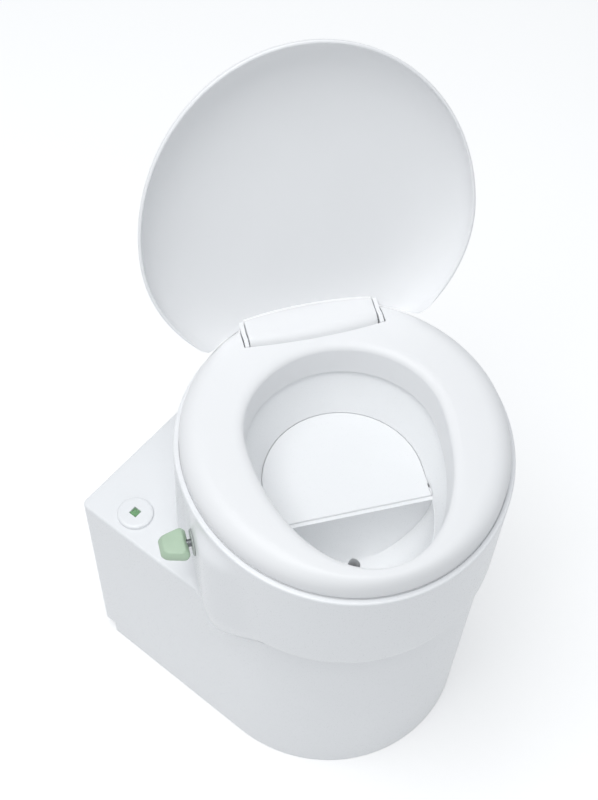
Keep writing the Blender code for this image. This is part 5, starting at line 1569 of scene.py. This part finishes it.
class Seat(Assembly[SeatForm]):
    """The seat ring, the hinge bar in its notch, its buffers and its hinge."""

    def section(self, angle: float) -> Ring:
        """One closed section of the hollow ring, from its skirt over the crown and back.

        Args:
            angle: Where on the ring.

        Returns:
            The section's points.
        """
        form = self.form
        outer = Outline.egg_point(form.half, form.front, form.half, angle)
        inner = Outline.egg_point(form.hole_half, form.hole_front, form.hole_rear, angle)
        across = outer - inner
        inward = -across.normalized()
        run, lip = min(form.shoulder_run, across.length / 2), min(form.inner_run, across.length / 4)
        base, crown = PLAN.seat_base, PLAN.seat_base + form.crown
        shoulder, base = base + form.skirt, base - form.skirt_drop
        points = []
        for sine, cosine in quarter(FACETS.edge):
            points.append((outer + inward * form.edge * (1 - sine), base + form.edge * (1 - cosine)))
        for sine, cosine in quarter(FACETS.crown):
            points.append((outer + inward * run * (1 - cosine), shoulder + (crown - shoulder) * sine))
        for sine, cosine in quarter(FACETS.lip):
            points.append((inner - inward * lip * (1 - sine), crown - form.inner_drop * (1 - cosine)))
        low, collar = inner + inward * form.hole_taper, PLAN.rim - form.collar_drop
        points += [(low, collar), (low - inward * form.wall, collar)]
        points.append((inner - inward * form.wall, crown - form.inner_drop - form.wall))
        points.append((inner - inward * (form.wall + lip / 2), crown - form.wall))
        points.append((outer + inward * run, crown - form.wall))
        points.append((outer + inward * (form.wall + run / 4), shoulder + (crown - shoulder) / 2))
        points.append((outer + inward * form.wall, shoulder))
        points.append((outer + inward * form.wall, base))
        return [Vector((p.x, p.y, z)) for p, z in points]

    def envelope(self, inset: float) -> Solid:
        """The seat's outside without its hole.

        Args:
            inset: How far it is drawn in. Below 0 it is grown.

        Returns:
            The solid, in the bowl frame.
        """
        form = self.form
        shoulder = PLAN.seat_base + form.skirt
        rise = form.crown - form.skirt - inset
        profile = [(0.0, PLAN.seat_base)]
        for sine, cosine in quarter(FACETS.crown):
            profile.append((form.shoulder_run * (1 - cosine), shoulder + rise * sine))
        rings = []
        for inward, height in profile:
            drawn = inward + inset
            rings.append(Outline.egg(form.half - drawn, form.front - drawn, form.half - drawn, height))
        return Solid.loft("envelope", rings)

    def bar_line(self) -> list[float]:
        """Places along the bar, and a little past its ends."""
        inner = [self.form.bar_half * (2 * step / FACETS.bow - 1) for step in range(FACETS.bow + 1)]
        return [-self.form.slot, *inner, self.form.slot]

    def front_at(self, x: float) -> float:
        """How far back the bar's bowed front lies at a place along it."""
        return self.form.bar_front + self.form.bar_front_bow * (x / self.form.bar_half) ** 2

    def rear_at(self, x: float) -> float:
        """How far back the bar's bowed rear lies at a place along it."""
        return self.form.bar_rear - self.form.bar_bow * (x / self.form.bar_half) ** 2

    def bar_ring(self, x: float, inset: float) -> Ring:
        """A section of the hinge bar, rounded in front and flat on top.

        Args:
            x: Where along the bar.
            inset: How far it is drawn in, at its rounded ends.

        Returns:
            The section's points.
        """
        form = self.form
        foot = PLAN.seat_base + form.bar_floor + PLAN.touch_gap
        top = PLAN.rim + form.bar_top - inset
        front, rear = self.front_at(x) + inset, self.rear_at(x) - inset
        ring = [Vector((x, front, foot))]
        for sine, cosine in quarter(FACETS.bar):
            ring.append(Vector((x, front + form.bar_radius * (1 - cosine), top - form.bar_radius * (1 - sine))))
        for sine, cosine in quarter(FACETS.edge):
            ring.append(Vector((x, rear - form.bar_edge * (1 - sine), top - form.bar_edge * (1 - cosine))))
        ring.append(Vector((x, rear, foot)))
        return ring

    def bar(self) -> Solid:
        """The hinge bar with rounded ends and the seats for the lid's pins.

        Returns:
            The solid, in the bowl frame.
        """
        form = self.form
        places = [(x, 0.0) for x in self.bar_line()[2:-2]]
        for sine, cosine in quarter(FACETS.edge):
            out, inset = form.bar_half - form.bar_end * (1 - sine), form.bar_end * (1 - cosine)
            places = [(-out, inset), *places, (out, inset)]
        bar = Solid.loft("hinge_bar_cover", [self.bar_ring(x, inset) for x, inset in places])
        for side in (-1, 1):
            ends = (side * (form.bar_half - form.pin_depth), side * (form.bar_half + PLAN.overrun))
            bar.cut(Solid.rod("pin_seat", form.pin_bore, ends, PLAN.lid_axis))
        return bar

    def notch(self, line: Callable[[float], float], low: float) -> Solid:
        """A cut behind a bowed line, as wide as the ears' slots.

        Args:
            line: How far back the line lies at a place along the bar.
            low: The height it is cut down to.

        Returns:
            The solid to cut with.
        """
        slot = self.form.slot
        rings = []
        for z in (low, PLAN.seat_base + self.form.crown + PLAN.overrun):
            ring = [Vector((x, line(x), z)) for x in self.bar_line()]
            ring += [Vector((slot, 2 * self.form.bar_rear, z)), Vector((-slot, 2 * self.form.bar_rear, z))]
            rings.append(ring)
        return Solid.loft("notch", rings)

    def knuckle(self, side: int) -> Solid:
        """A round knuckle behind the bar that turns on the seat's pin.

        Args:
            side: -1 on the sitter's right and 1 on the left.

        Returns:
            The solid, in the bowl frame.
        """
        form = self.form
        start, end = side * form.knuckle_inner, side * (form.knuckle_inner + form.knuckle_length)
        knuckle = Solid.rod("knuckle", form.knuckle, (start, end), form.hinge_axis)
        low = (min(start, end), form.bar_rear - 2 * form.bar_bow, PLAN.seat_base + PLAN.touch_gap)
        high = (max(start, end), form.axis_setback, PLAN.seat_base + form.bar_floor - PLAN.touch_gap)
        return knuckle.join(Solid.block("neck", low, high))

    def buffer_spot(self, angle: float) -> Vector:
        """Where a buffer stands in plan, halfway across the ring."""
        form, turn = self.form, math.radians(angle)
        outer = Outline.egg_point(form.half, form.front, form.half, turn)
        return outer.lerp(Outline.egg_point(form.hole_half, form.hole_front, form.hole_rear, turn), 0.5)

    def ring(self) -> Solid:
        """The seat ring with its bosses, notch, lugs and knuckles.

        Returns:
            The solid, in the bowl frame.
        """
        form = self.form
        crown = PLAN.seat_base + form.crown
        seat = Solid.hoop("seat_ring_cover", [self.section(turn) for turn in EGG_TURNS])
        radius = form.buffer_radius + form.boss_wall
        ends = (PLAN.seat_base, crown - form.wall / 2)
        for angle in form.buffer_angles:
            seat.join(Solid.rod("boss", radius, ends, self.buffer_spot(angle).to_3d(), axis=Along.Z))
        reach = form.slot + form.lug
        low = (-reach, form.bar_front - form.bar_gap - form.wall, PLAN.seat_base)
        pocket = Solid.block("pocket", low, (reach, form.bar_rear, crown + PLAN.overrun))
        seat.join(pocket.mix(self.envelope(form.inset), Mixing.COMMON))
        seat.cut(self.notch(lambda x: self.rear_at(x) - form.bar_wall / 2, PLAN.seat_base - PLAN.overrun))
        seat.cut(self.notch(lambda x: self.front_at(x) - form.bar_gap, PLAN.seat_base + form.bar_floor))
        for side in (-1, 1):
            seat.join(self.knuckle(side))
            ends = (side * (form.slot - PLAN.overrun), side * (reach + PLAN.overrun))
            seat.cut(Solid.rod("pin_bore", form.pin_bore, ends, PLAN.lid_axis))
        far = form.knuckle_inner + form.knuckle_length + PLAN.overrun
        for side in (-1, 1):
            ends = (side * (form.knuckle_inner - PLAN.overrun), side * far)
            seat.cut(Solid.rod("knuckle_bore", form.hinge_bore, ends, form.hinge_axis))
        return seat

    def build(self) -> None:
        """Builds and dresses the seat and what it carries."""
        form = self.form
        self.dress(self.ring().turn_to_bowl(), Wardrobe.SEAT, Body.SEAT, ["seat_ring"])
        self.dress(self.bar().turn_to_bowl(), Wardrobe.SEAT, Body.SEAT, ["hinge_bar"])
        middle = PLAN.rim + PLAN.buffer_height / 2
        spots = [self.buffer_spot(angle).to_3d() + Vector((0, 0, middle)) for angle in form.buffer_angles]
        height = PLAN.buffer_height - 2 * PLAN.touch_gap
        rubber = self.wardrobe.get(Wardrobe.RUBBER)
        buttons = SoftButtons(form.buffer_radius, height).solid("seat_buffers", spots, rubber).turn_to_bowl()
        names = [f"seat_buffer_{number}" for number in (1, 2, 3, 4)]
        self.dress(buttons, Wardrobe.RUBBER, Body.SEAT, names)
        for word in ("left", "right"):
            self.carry(f"lid_pin_{word}", Wardrobe.STEEL, Body.SEAT, bevel=0.0002)
            self.carry(f"seat_pin_{word}", Wardrobe.STEEL, Body.COVER, bevel=0.0002)
            self.carry(f"seat_bracket_{word}", Wardrobe.TRIM, Body.COVER)


@dataclass
class LidForm:
    """Sizes of the domed lid."""

    half: float = 0.168
    front: float = 0.1832
    rear: float = 0.1554
    centre: float = 0.0054
    edge_drop: float = 0.0112
    wall: float = 0.0032
    dome: float = 0.0418
    lip: float = 0.0011
    back_cut: float = 0.0008
    ear_cut: float = 0.003
    ear_cut_half: float = 0.088
    back_cut_half: float = 0.102
    notch_cut: float = 0.018
    notch_bow: float = 0.003
    swing_gap: float = 0.0006
    rim_slack: float = 0.0001
    ear_radius: float = 0.0065
    ear_outline: tuple[tuple[float, float], ...] = (
        (-0.0065, 0.0), (-0.0065, 0.0059), (-0.0130, 0.0175), (-0.0130, 0.0210), (-0.0068, 0.0190),
        (0.0065, 0.0040), (0.0068, -0.0062), (0.0031, -0.0086), (-0.0012, -0.0092), (-0.0061, -0.0022),
    )
    swing_shares: tuple[float, ...] = (0.0, 0.06, 0.12, 0.18, 0.25, 0.33, 0.42, 0.55, 0.7, 0.85, 1.0)


class Lid(Assembly[LidForm]):
    """The domed lid, cut off behind the seat, with the two ears that turn on the pins."""

    def __init__(self, wardrobe: Wardrobe, form: LidForm, seat: Seat) -> None:
        """Keeps the finishes, the sizes and the seat that the lid clears."""
        super().__init__(wardrobe, form)
        self.seat = seat

    def skin(self, inset: float, skirt: float) -> EggDome:
        """The rule of one of the lid's skins.

        Args:
            inset: How far it lies inside the outer skin.
            skirt: How far it runs straight down below the lid's edge.

        Returns:
            The dome.
        """
        form = self.form
        edge = PLAN.lid_axis.z - form.edge_drop
        front = form.front + form.centre - inset
        return EggDome(form.half - inset, front, form.rear - inset, form.centre, edge, form.dome - inset, skirt)

    def back_cut(self) -> Solid:
        """The cut along the lid's rear: clear of the seat beside the ears, and round the bar between them.

        Returns:
            The solid to cut with.
        """
        form, axis = self.form, PLAN.lid_axis
        wide = 2 * form.half
        reach = self.seat.form.bar_half + self.seat.form.ear_gap / 2
        side = [(wide, form.back_cut), (form.back_cut_half, form.back_cut), (form.ear_cut_half, form.ear_cut)]
        side.append((reach, form.ear_cut))
        points = [(-x, y) for x, y in side]
        for step in range(FACETS.bow + 1):
            across = 2 * step / FACETS.bow - 1
            points.append((reach * across, form.notch_cut - form.notch_bow * across**2))
        points += reversed(side)
        rings = []
        for height in (0, 2 * axis.z):
            ring = [Vector((x, axis.y - ahead, height)) for x, ahead in points]
            ring += [Vector((wide, 2 * axis.y, height)), Vector((-wide, 2 * axis.y, height))]
            rings.append(ring)
        return Solid.loft("lid_back_cut", rings)

    def ear(self, side: int) -> Solid:
        """One of the ears: a hub round the pin with a toe, and a web that runs up into the lid.

        Args:
            side: -1 on the sitter's right and 1 on the left.

        Returns:
            The solid, in the bowl frame.
        """
        form, hinge, axis = self.form, self.seat.form, PLAN.lid_axis
        inner = side * (hinge.bar_half + hinge.ear_gap)
        outer = side * (hinge.bar_half + hinge.ear_gap + hinge.ear)
        ear = Solid.loft("ear", [[axis + Vector((x, y, z)) for y, z in form.ear_outline] for x in (inner, outer)])
        ear.join(Solid.rod("hub", form.ear_radius, (inner, outer), axis))
        ends = (inner - side * PLAN.overrun, outer + side * PLAN.overrun)
        return ear.cut(Solid.rod("ear_bore", hinge.pin_bore, ends, axis))

    def shell(self) -> Solid:
        """The dome's shell with its rim rounded.

        Returns:
            The solid, shut over the seat.
        """
        form = self.form
        shell = self.skin(0, 0).solid("lid_shell")
        shell.cut(self.skin(form.wall, PLAN.overrun).solid("lid_hollow"))
        edge = PLAN.lid_axis.z - form.edge_drop

        def at_rim(mesh_edge: bmesh.types.BMEdge) -> bool:
            """Whether a sharp edge lies on the rim."""
            return is_sharp(mesh_edge) and all(abs(vert.co.z - edge) < form.rim_slack for vert in mesh_edge.verts)

        return shell.soften(form.lip, at_rim)

    def build(self) -> None:
        """Builds and dresses the lid in its open place."""
        lid = self.shell().cut(self.back_cut())
        pivot = Matrix.Translation(PLAN.lid_axis)
        for share in self.form.swing_shares:
            swing = Matrix.Rotation(PLAN.lid_rest * share, 4, "X")
            swept = self.seat.envelope(-self.form.swing_gap)
            lid.cut(swept.move(pivot @ swing @ pivot.inverted()))
        for side in (-1, 1):
            lid.join(self.ear(side))
        lid.move(pivot @ Matrix.Rotation(-PLAN.lid_rest, 4, "X") @ pivot.inverted())
        # The lid takes the paler copy of the seat's plastic, painted light for its shaded inner face.
        self.dress(lid.turn_to_bowl(), Wardrobe.LID, Body.LID, ["lid"])


@dataclass
class DialForm:
    """Sizes of the level dial on the shelf."""

    radius: float = 0.020
    height: float = 0.0045
    edge: float = 0.002
    neck: float = 0.0145
    bore: float = 0.0125
    neck_length: float = 0.006
    window: float = 0.010
    lens: float = 0.0012
    lens_edge: float = 0.0003


class LevelDial(Assembly[DialForm]):
    """The round cap with its square window, the lens, and the flag that rises under it."""

    def cap(self) -> Solid:
        """The cap with its rounded edge and its window.

        Returns:
            The solid.
        """
        form = self.form
        base = PLAN.shelf + PLAN.touch_gap
        top = base + form.height
        profile = [(form.neck, PLAN.shelf - form.neck_length), (form.neck, base), (form.radius, base)]
        for sine, cosine in quarter(FACETS.lip):
            profile.append((form.radius - 2 * form.edge * (1 - cosine), top - form.edge * (1 - sine)))
        cap = Solid.turned("level_cap", profile, PLAN.dial_axis, FACETS.dial)
        ends = (PLAN.shelf - form.neck_length - PLAN.overrun, base + form.height / 3)
        cap.cut(Solid.rod("cap_bore", form.bore, ends, PLAN.dial_axis, FACETS.dial, Along.Z))
        half = form.window / 2
        low = (PLAN.dial_x - half, PLAN.dial_y - half, base)
        return cap.cut(Solid.block("window", low, (PLAN.dial_x + half, PLAN.dial_y + half, top + PLAN.overrun)))

    def build(self) -> None:
        """Builds and dresses the dial and its float gear."""
        form = self.form
        self.dress(self.cap(), Wardrobe.SHELL, Body.COVER, ["dial_cap"])
        top, edge = PLAN.shelf + form.height / 3, form.lens_edge
        radius = form.bore - PLAN.touch_gap
        profile = [(radius - edge, top - form.lens), (radius, top - form.lens + edge)]
        profile += [(radius, top - edge), (radius - edge, top)]
        lens = Solid.turned("dial_window", profile, PLAN.dial_axis, FACETS.dial)
        self.dress(lens, Wardrobe.LENS, Body.COVER, ["dial_lens"])
        self.carry("indicator_stem", Wardrobe.FLAG, Body.INDICATOR)
        self.carry("indicator_float", Wardrobe.TANK, Body.INDICATOR, bevel=0.001)
        self.carry("indicator_collar", Wardrobe.TRIM, Body.BASE)


@dataclass
class InsideForm:
    """Sizes of what stands under the housing, where it is built anew."""

    bin_base: float = 0.112
    bin_top: float = 0.125
    bin_y: float = -0.034
    bin_headroom: float = 0.0577
    bin_wall: float = 0.0025
    bin_rim: float = 0.005
    bin_rim_height: float = 0.006
    bin_edge: float = 0.002
    bin_edge_slope: float = 0.0006
    bin_corner: float = 0.003
    pan: float = 0.003
    hose_start: float = 0.0075
    hose_under: float = 0.010
    hose_side: float = -0.118
    hose_turn_down: float = 0.025
    hose_end: float = 0.048
    hose_bend: float = 0.022
    inlet_x: float = -0.062
    inlet_y: float = 0.150
    ridges: HoseRidges = HoseRidges(0.0110, 0.0007, 0.0045)


class Inside(Assembly[InsideForm]):
    """The base pan, the bin, the urine tank and the drain hose."""

    def bin(self) -> Solid:
        """The tapered bin with its rolled rim.

        Returns:
            The solid.
        """
        form = self.form
        base = form.pan + PLAN.touch_gap
        top = PLAN.shelf - form.bin_headroom
        low = top - form.bin_rim_height
        out = form.bin_top + form.bin_rim
        centre = (0, form.bin_y, 0)
        edge, slope = form.bin_edge, form.bin_edge_slope
        profile = [(form.bin_base - edge, base), (form.bin_base, base + edge), (form.bin_top, low)]
        profile += [(out, low), (out, top - edge), (out - slope, top - slope), (out - edge, top)]
        body = Solid.turned("solids_bin_body", profile, centre, FACETS.egg)
        wall, corner = form.bin_wall, form.bin_corner
        inside = [(form.bin_base - wall - corner, base + wall), (form.bin_base - wall, base + wall + corner)]
        inside += [(form.bin_top - wall, low), (form.bin_top - wall, top + PLAN.overrun)]
        return body.cut(Solid.turned("bin_hollow", inside, centre, FACETS.egg))

    def hose_route(self) -> Ring:
        """The drain hose's middle line, in the bowl frame.

        Returns:
            Its points, with each corner rounded.
        """
        form = self.form
        inlet = Matrix.Rotation(-PLAN.bowl_turn, 4, "Z") @ Vector((form.inlet_x, form.inlet_y, 0))
        corners = [
            Vector((0, -PLAN.drain_setback, PLAN.drain - form.hose_start)),
            Vector((0, -PLAN.drain_setback, PLAN.shelf - form.hose_under)),
            Vector((form.hose_side, -PLAN.drain_setback, PLAN.shelf - form.hose_under)),
            Vector((inlet.x, inlet.y, PLAN.shelf - form.hose_turn_down)),
            Vector((inlet.x, inlet.y, PLAN.shelf - form.hose_end)),
        ]
        route = [corners[0]]
        for before, corner, after in zip(corners, corners[1:], corners[2:]):
            start = corner + (before - corner).normalized() * min(form.hose_bend, (before - corner).length / 2)
            end = corner + (after - corner).normalized() * min(form.hose_bend, (after - corner).length / 2)
            for step in range(FACETS.lip + 1):
                share = step / FACETS.lip
                route.append(start.lerp(corner, share).lerp(corner.lerp(end, share), share))
        route.append(corners[-1])
        return route

    def build(self) -> None:
        """Builds and dresses the pieces inside."""
        self.dress(self.bin(), Wardrobe.BIN, Body.BASE, ["solids_bin"])
        self.carry("base_pan", Wardrobe.TRIM, Body.BASE, bevel=0.0006)
        self.carry("urine_tank", Wardrobe.TANK, Body.BASE, bevel=0.001)
        self.carry("tank_inlet", Wardrobe.TRIM, Body.BASE)
        self.carry("drain_pipe", Wardrobe.HOSE, Body.COVER)
        hose = self.wardrobe.get(Wardrobe.HOSE)
        made = self.form.ridges.solid("hose_ridges", self.hose_route(), hose).turn_to_bowl()
        self.dress(made, Wardrobe.HOSE, Body.COVER)


@dataclass
class VentForm:
    """Sizes of the vent outlet in the rear wall."""

    radius: float = 0.0375
    wall: float = 0.0025
    length: float = 0.032
    tail: float = 0.014
    flange_width: float = 0.008
    flange: float = 0.003
    flange_edge: tuple[tuple[float, float], ...] = ((0.0, 0.6), (0.0006, 0.9), (0.0014, 1.0))
    tip_run: float = 0.0015
    tip_draw: float = 0.0012
    ridge_shares: tuple[float, ...] = (0.35, 0.5, 0.65, 0.8)
    ridges: HoseRidges = HoseRidges(0.0373, 0.0008, 0.0045, 64)


class Vent(Assembly[VentForm]):
    """The vent outlet, with the ridges that grip its hose."""

    def build(self) -> None:
        """Builds and dresses the outlet."""
        form = self.form
        face = PLAN.body_rear + PLAN.touch_gap
        tail = PLAN.body_rear - PLAN.body_wall - form.tail
        wide = form.radius + form.flange_width
        end = face + form.length
        profile = [(form.radius, tail), (form.radius, face), (wide, face)]
        profile += [(wide - drawn, face + form.flange * share) for drawn, share in form.flange_edge]
        profile += [(form.radius, face + form.flange), (form.radius, end - form.tip_run)]
        profile.append((form.radius - form.tip_draw, end))
        vent = Solid.turned("vent_spout", profile, PLAN.vent_axis, FACETS.dial, Along.Y)
        ends = (tail - PLAN.overrun, end + PLAN.overrun)
        vent.cut(Solid.rod("vent_bore", form.radius - form.wall, ends, PLAN.vent_axis, FACETS.dial, Along.Y))
        self.dress(vent, Wardrobe.SHELL, Body.COVER, ["vent_outlet"])
        route = [PLAN.vent_axis + Vector((0, face + share * form.length, 0)) for share in form.ridge_shares]
        ridges = form.ridges.solid("vent_ridges", route, self.wardrobe.get(Wardrobe.SHELL))
        self.dress(ridges, Wardrobe.SHELL, Body.COVER)


# Stage.


@dataclass
class PhotoCamera:
    """The camera at the photograph's angle, for a picture of 598 by 800."""

    place: tuple[float, float, float] = (-0.594, -0.371, 1.531)
    azimuth: float = math.radians(-49.98)
    elevation: float = math.radians(58.59)
    roll: float = math.radians(-0.17)
    focal_pixels: float = 1271.73
    picture_height: float = 800.0
    shift_x: float = 0.0670
    shift_y: float = 0.0951

    def build(self) -> bpy.types.Object:
        """Makes the camera and hands it to the scene.

        Returns:
            The camera.
        """
        data = bpy.data.cameras.new("photo_camera")
        data.sensor_fit = "AUTO"
        data.sensor_width = 36.0
        data.lens = data.sensor_width * self.focal_pixels / self.picture_height
        data.shift_x = self.shift_x
        data.shift_y = self.shift_y
        data.clip_start = 0.01
        data.clip_end = 50.0
        camera = add_object("photo_camera", data)
        flat = math.cos(self.elevation)
        back = Vector((math.sin(self.azimuth) * flat, -math.cos(self.azimuth) * flat, math.sin(self.elevation)))
        right = Vector((math.cos(self.azimuth), math.sin(self.azimuth), 0))
        up = back.cross(right)
        side = right * math.cos(self.roll) + up * math.sin(self.roll)
        upward = up * math.cos(self.roll) - right * math.sin(self.roll)
        matrix = Matrix((side, upward, back)).transposed().to_4x4()
        matrix.translation = Vector(self.place)
        camera.matrix_world = matrix
        bpy.context.scene.camera = camera
        LOG.info("camera: lens %.2f mm", data.lens)
        return camera


@dataclass
class Studio:
    """A pale floor, a white surround and plain soft lamps."""

    floor_half: float = 4.0
    floor_drop: float = 0.0005
    floor_colour: Colour = (0.80, 0.80, 0.80)
    floor_glow: float = 0.35
    world_level: float = 0.53
    world_colour: Colour = (0.92, 0.96, 1.0)
    aim: tuple[float, float, float] = (0.0, 0.0, 0.35)
    lamps: tuple[tuple[str, tuple[float, float, float], float, float], ...] = (
        ("lamp_over", (-0.55, 0.30, 2.7), 1.6, 33.0),
        ("lamp_front", (-2.2, -2.2, 1.3), 1.6, 7.5),
    )

    def floor(self) -> None:
        """Lays the floor, white to the camera and still able to take a shadow."""
        half = self.floor_half
        spots = ((-half, -half), (half, -half), (half, half), (-half, half))
        mesh = bpy.data.meshes.new("studio_floor")
        mesh.from_pydata([(x, y, -self.floor_drop) for x, y in spots], [], [(0, 1, 2, 3)])
        floor = add_object("studio_floor", mesh)
        material = bpy.data.materials.new("pale_floor")
        material.use_nodes = True
        sheet = NodeSheet(material.node_tree)
        shader = material.node_tree.nodes["Principled BSDF"]
        shader.inputs["Base Color"].default_value = (*self.floor_colour, 1)
        shader.inputs["Roughness"].default_value = 0.9
        shader.inputs["Specular IOR Level"].default_value = 0.0
        path = sheet.add("ShaderNodeLightPath")
        seen = sheet.calc("MAXIMUM", path.outputs["Is Camera Ray"], path.outputs["Is Glossy Ray"])
        seen = sheet.calc("MAXIMUM", seen, path.outputs["Is Transmission Ray"])
        strength = sheet.calc("MULTIPLY", seen, self.floor_glow)
        glow = sheet.add("ShaderNodeEmission", {"Color": (1, 1, 1, 1), "Strength": strength})
        both = sheet.add("ShaderNodeAddShader", {0: shader.outputs[0], 1: glow.outputs[0]})
        sheet.tree.links.new(both.outputs[0], material.node_tree.nodes["Material Output"].inputs["Surface"])
        mesh.materials.append(material)

    def surround(self) -> None:
        """Fills the world with soft light, and shows it as plain white."""
        world = bpy.data.worlds.new("soft_surround")
        bpy.context.scene.world = world
        world.use_nodes = True
        sheet = NodeSheet(world.node_tree)
        ground = world.node_tree.nodes["Background"]
        path = sheet.add("ShaderNodeLightPath")
        seen = sheet.calc("MAXIMUM", path.outputs["Is Camera Ray"], path.outputs["Is Transmission Ray"])
        lift = sheet.calc("MULTIPLY", seen, 1.0 - self.world_level)
        ground.inputs["Color"].default_value = (*self.world_colour, 1)
        sheet.tree.links.new(sheet.calc("ADD", lift, self.world_level), ground.inputs["Strength"])

    def lamp(self, name: str, place: tuple[float, float, float], size: float, power: float) -> None:
        """Hangs a soft square lamp that looks at the toilet.

        Args:
            name: The lamp's name.
            place: Where it hangs.
            size: Its side.
            power: Its power in watts.
        """
        data = bpy.data.lights.new(name, "AREA")
        data.shape = "SQUARE"
        data.size = size
        data.energy = power
        lamp = add_object(name, data)
        lamp.location = place
        way = Vector(self.aim) - Vector(place)
        lamp.rotation_euler = way.to_track_quat("-Z", "Y").to_euler()

    def build(self) -> None:
        """Builds the stage."""
        self.floor()
        self.surround()
        for name, place, size, power in self.lamps:
            self.lamp(name, place, size, power)
        bpy.context.scene.view_settings.view_transform = "Standard"
        LOG.info("stage: %d lamps", len(self.lamps))


def main() -> None:
    """Builds and dresses the toilet, then its stage."""
    logging.basicConfig(level=logging.INFO, format="%(name)s: %(message)s")
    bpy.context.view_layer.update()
    wardrobe = Wardrobe()
    seat = Seat(wardrobe, SeatForm())
    PhotoCamera().build()
    Studio().build()
    for assembly in (
        Housing(wardrobe, HousingForm()), Bowl(wardrobe, BowlForm()), FlapDrive(wardrobe, DriveForm()),
        seat, Lid(wardrobe, LidForm(), seat), LevelDial(wardrobe, DialForm()),
        Inside(wardrobe, InsideForm()), Vent(wardrobe, VentForm()),
    ):
        assembly.build()


if __name__ == "__main__":
    main()
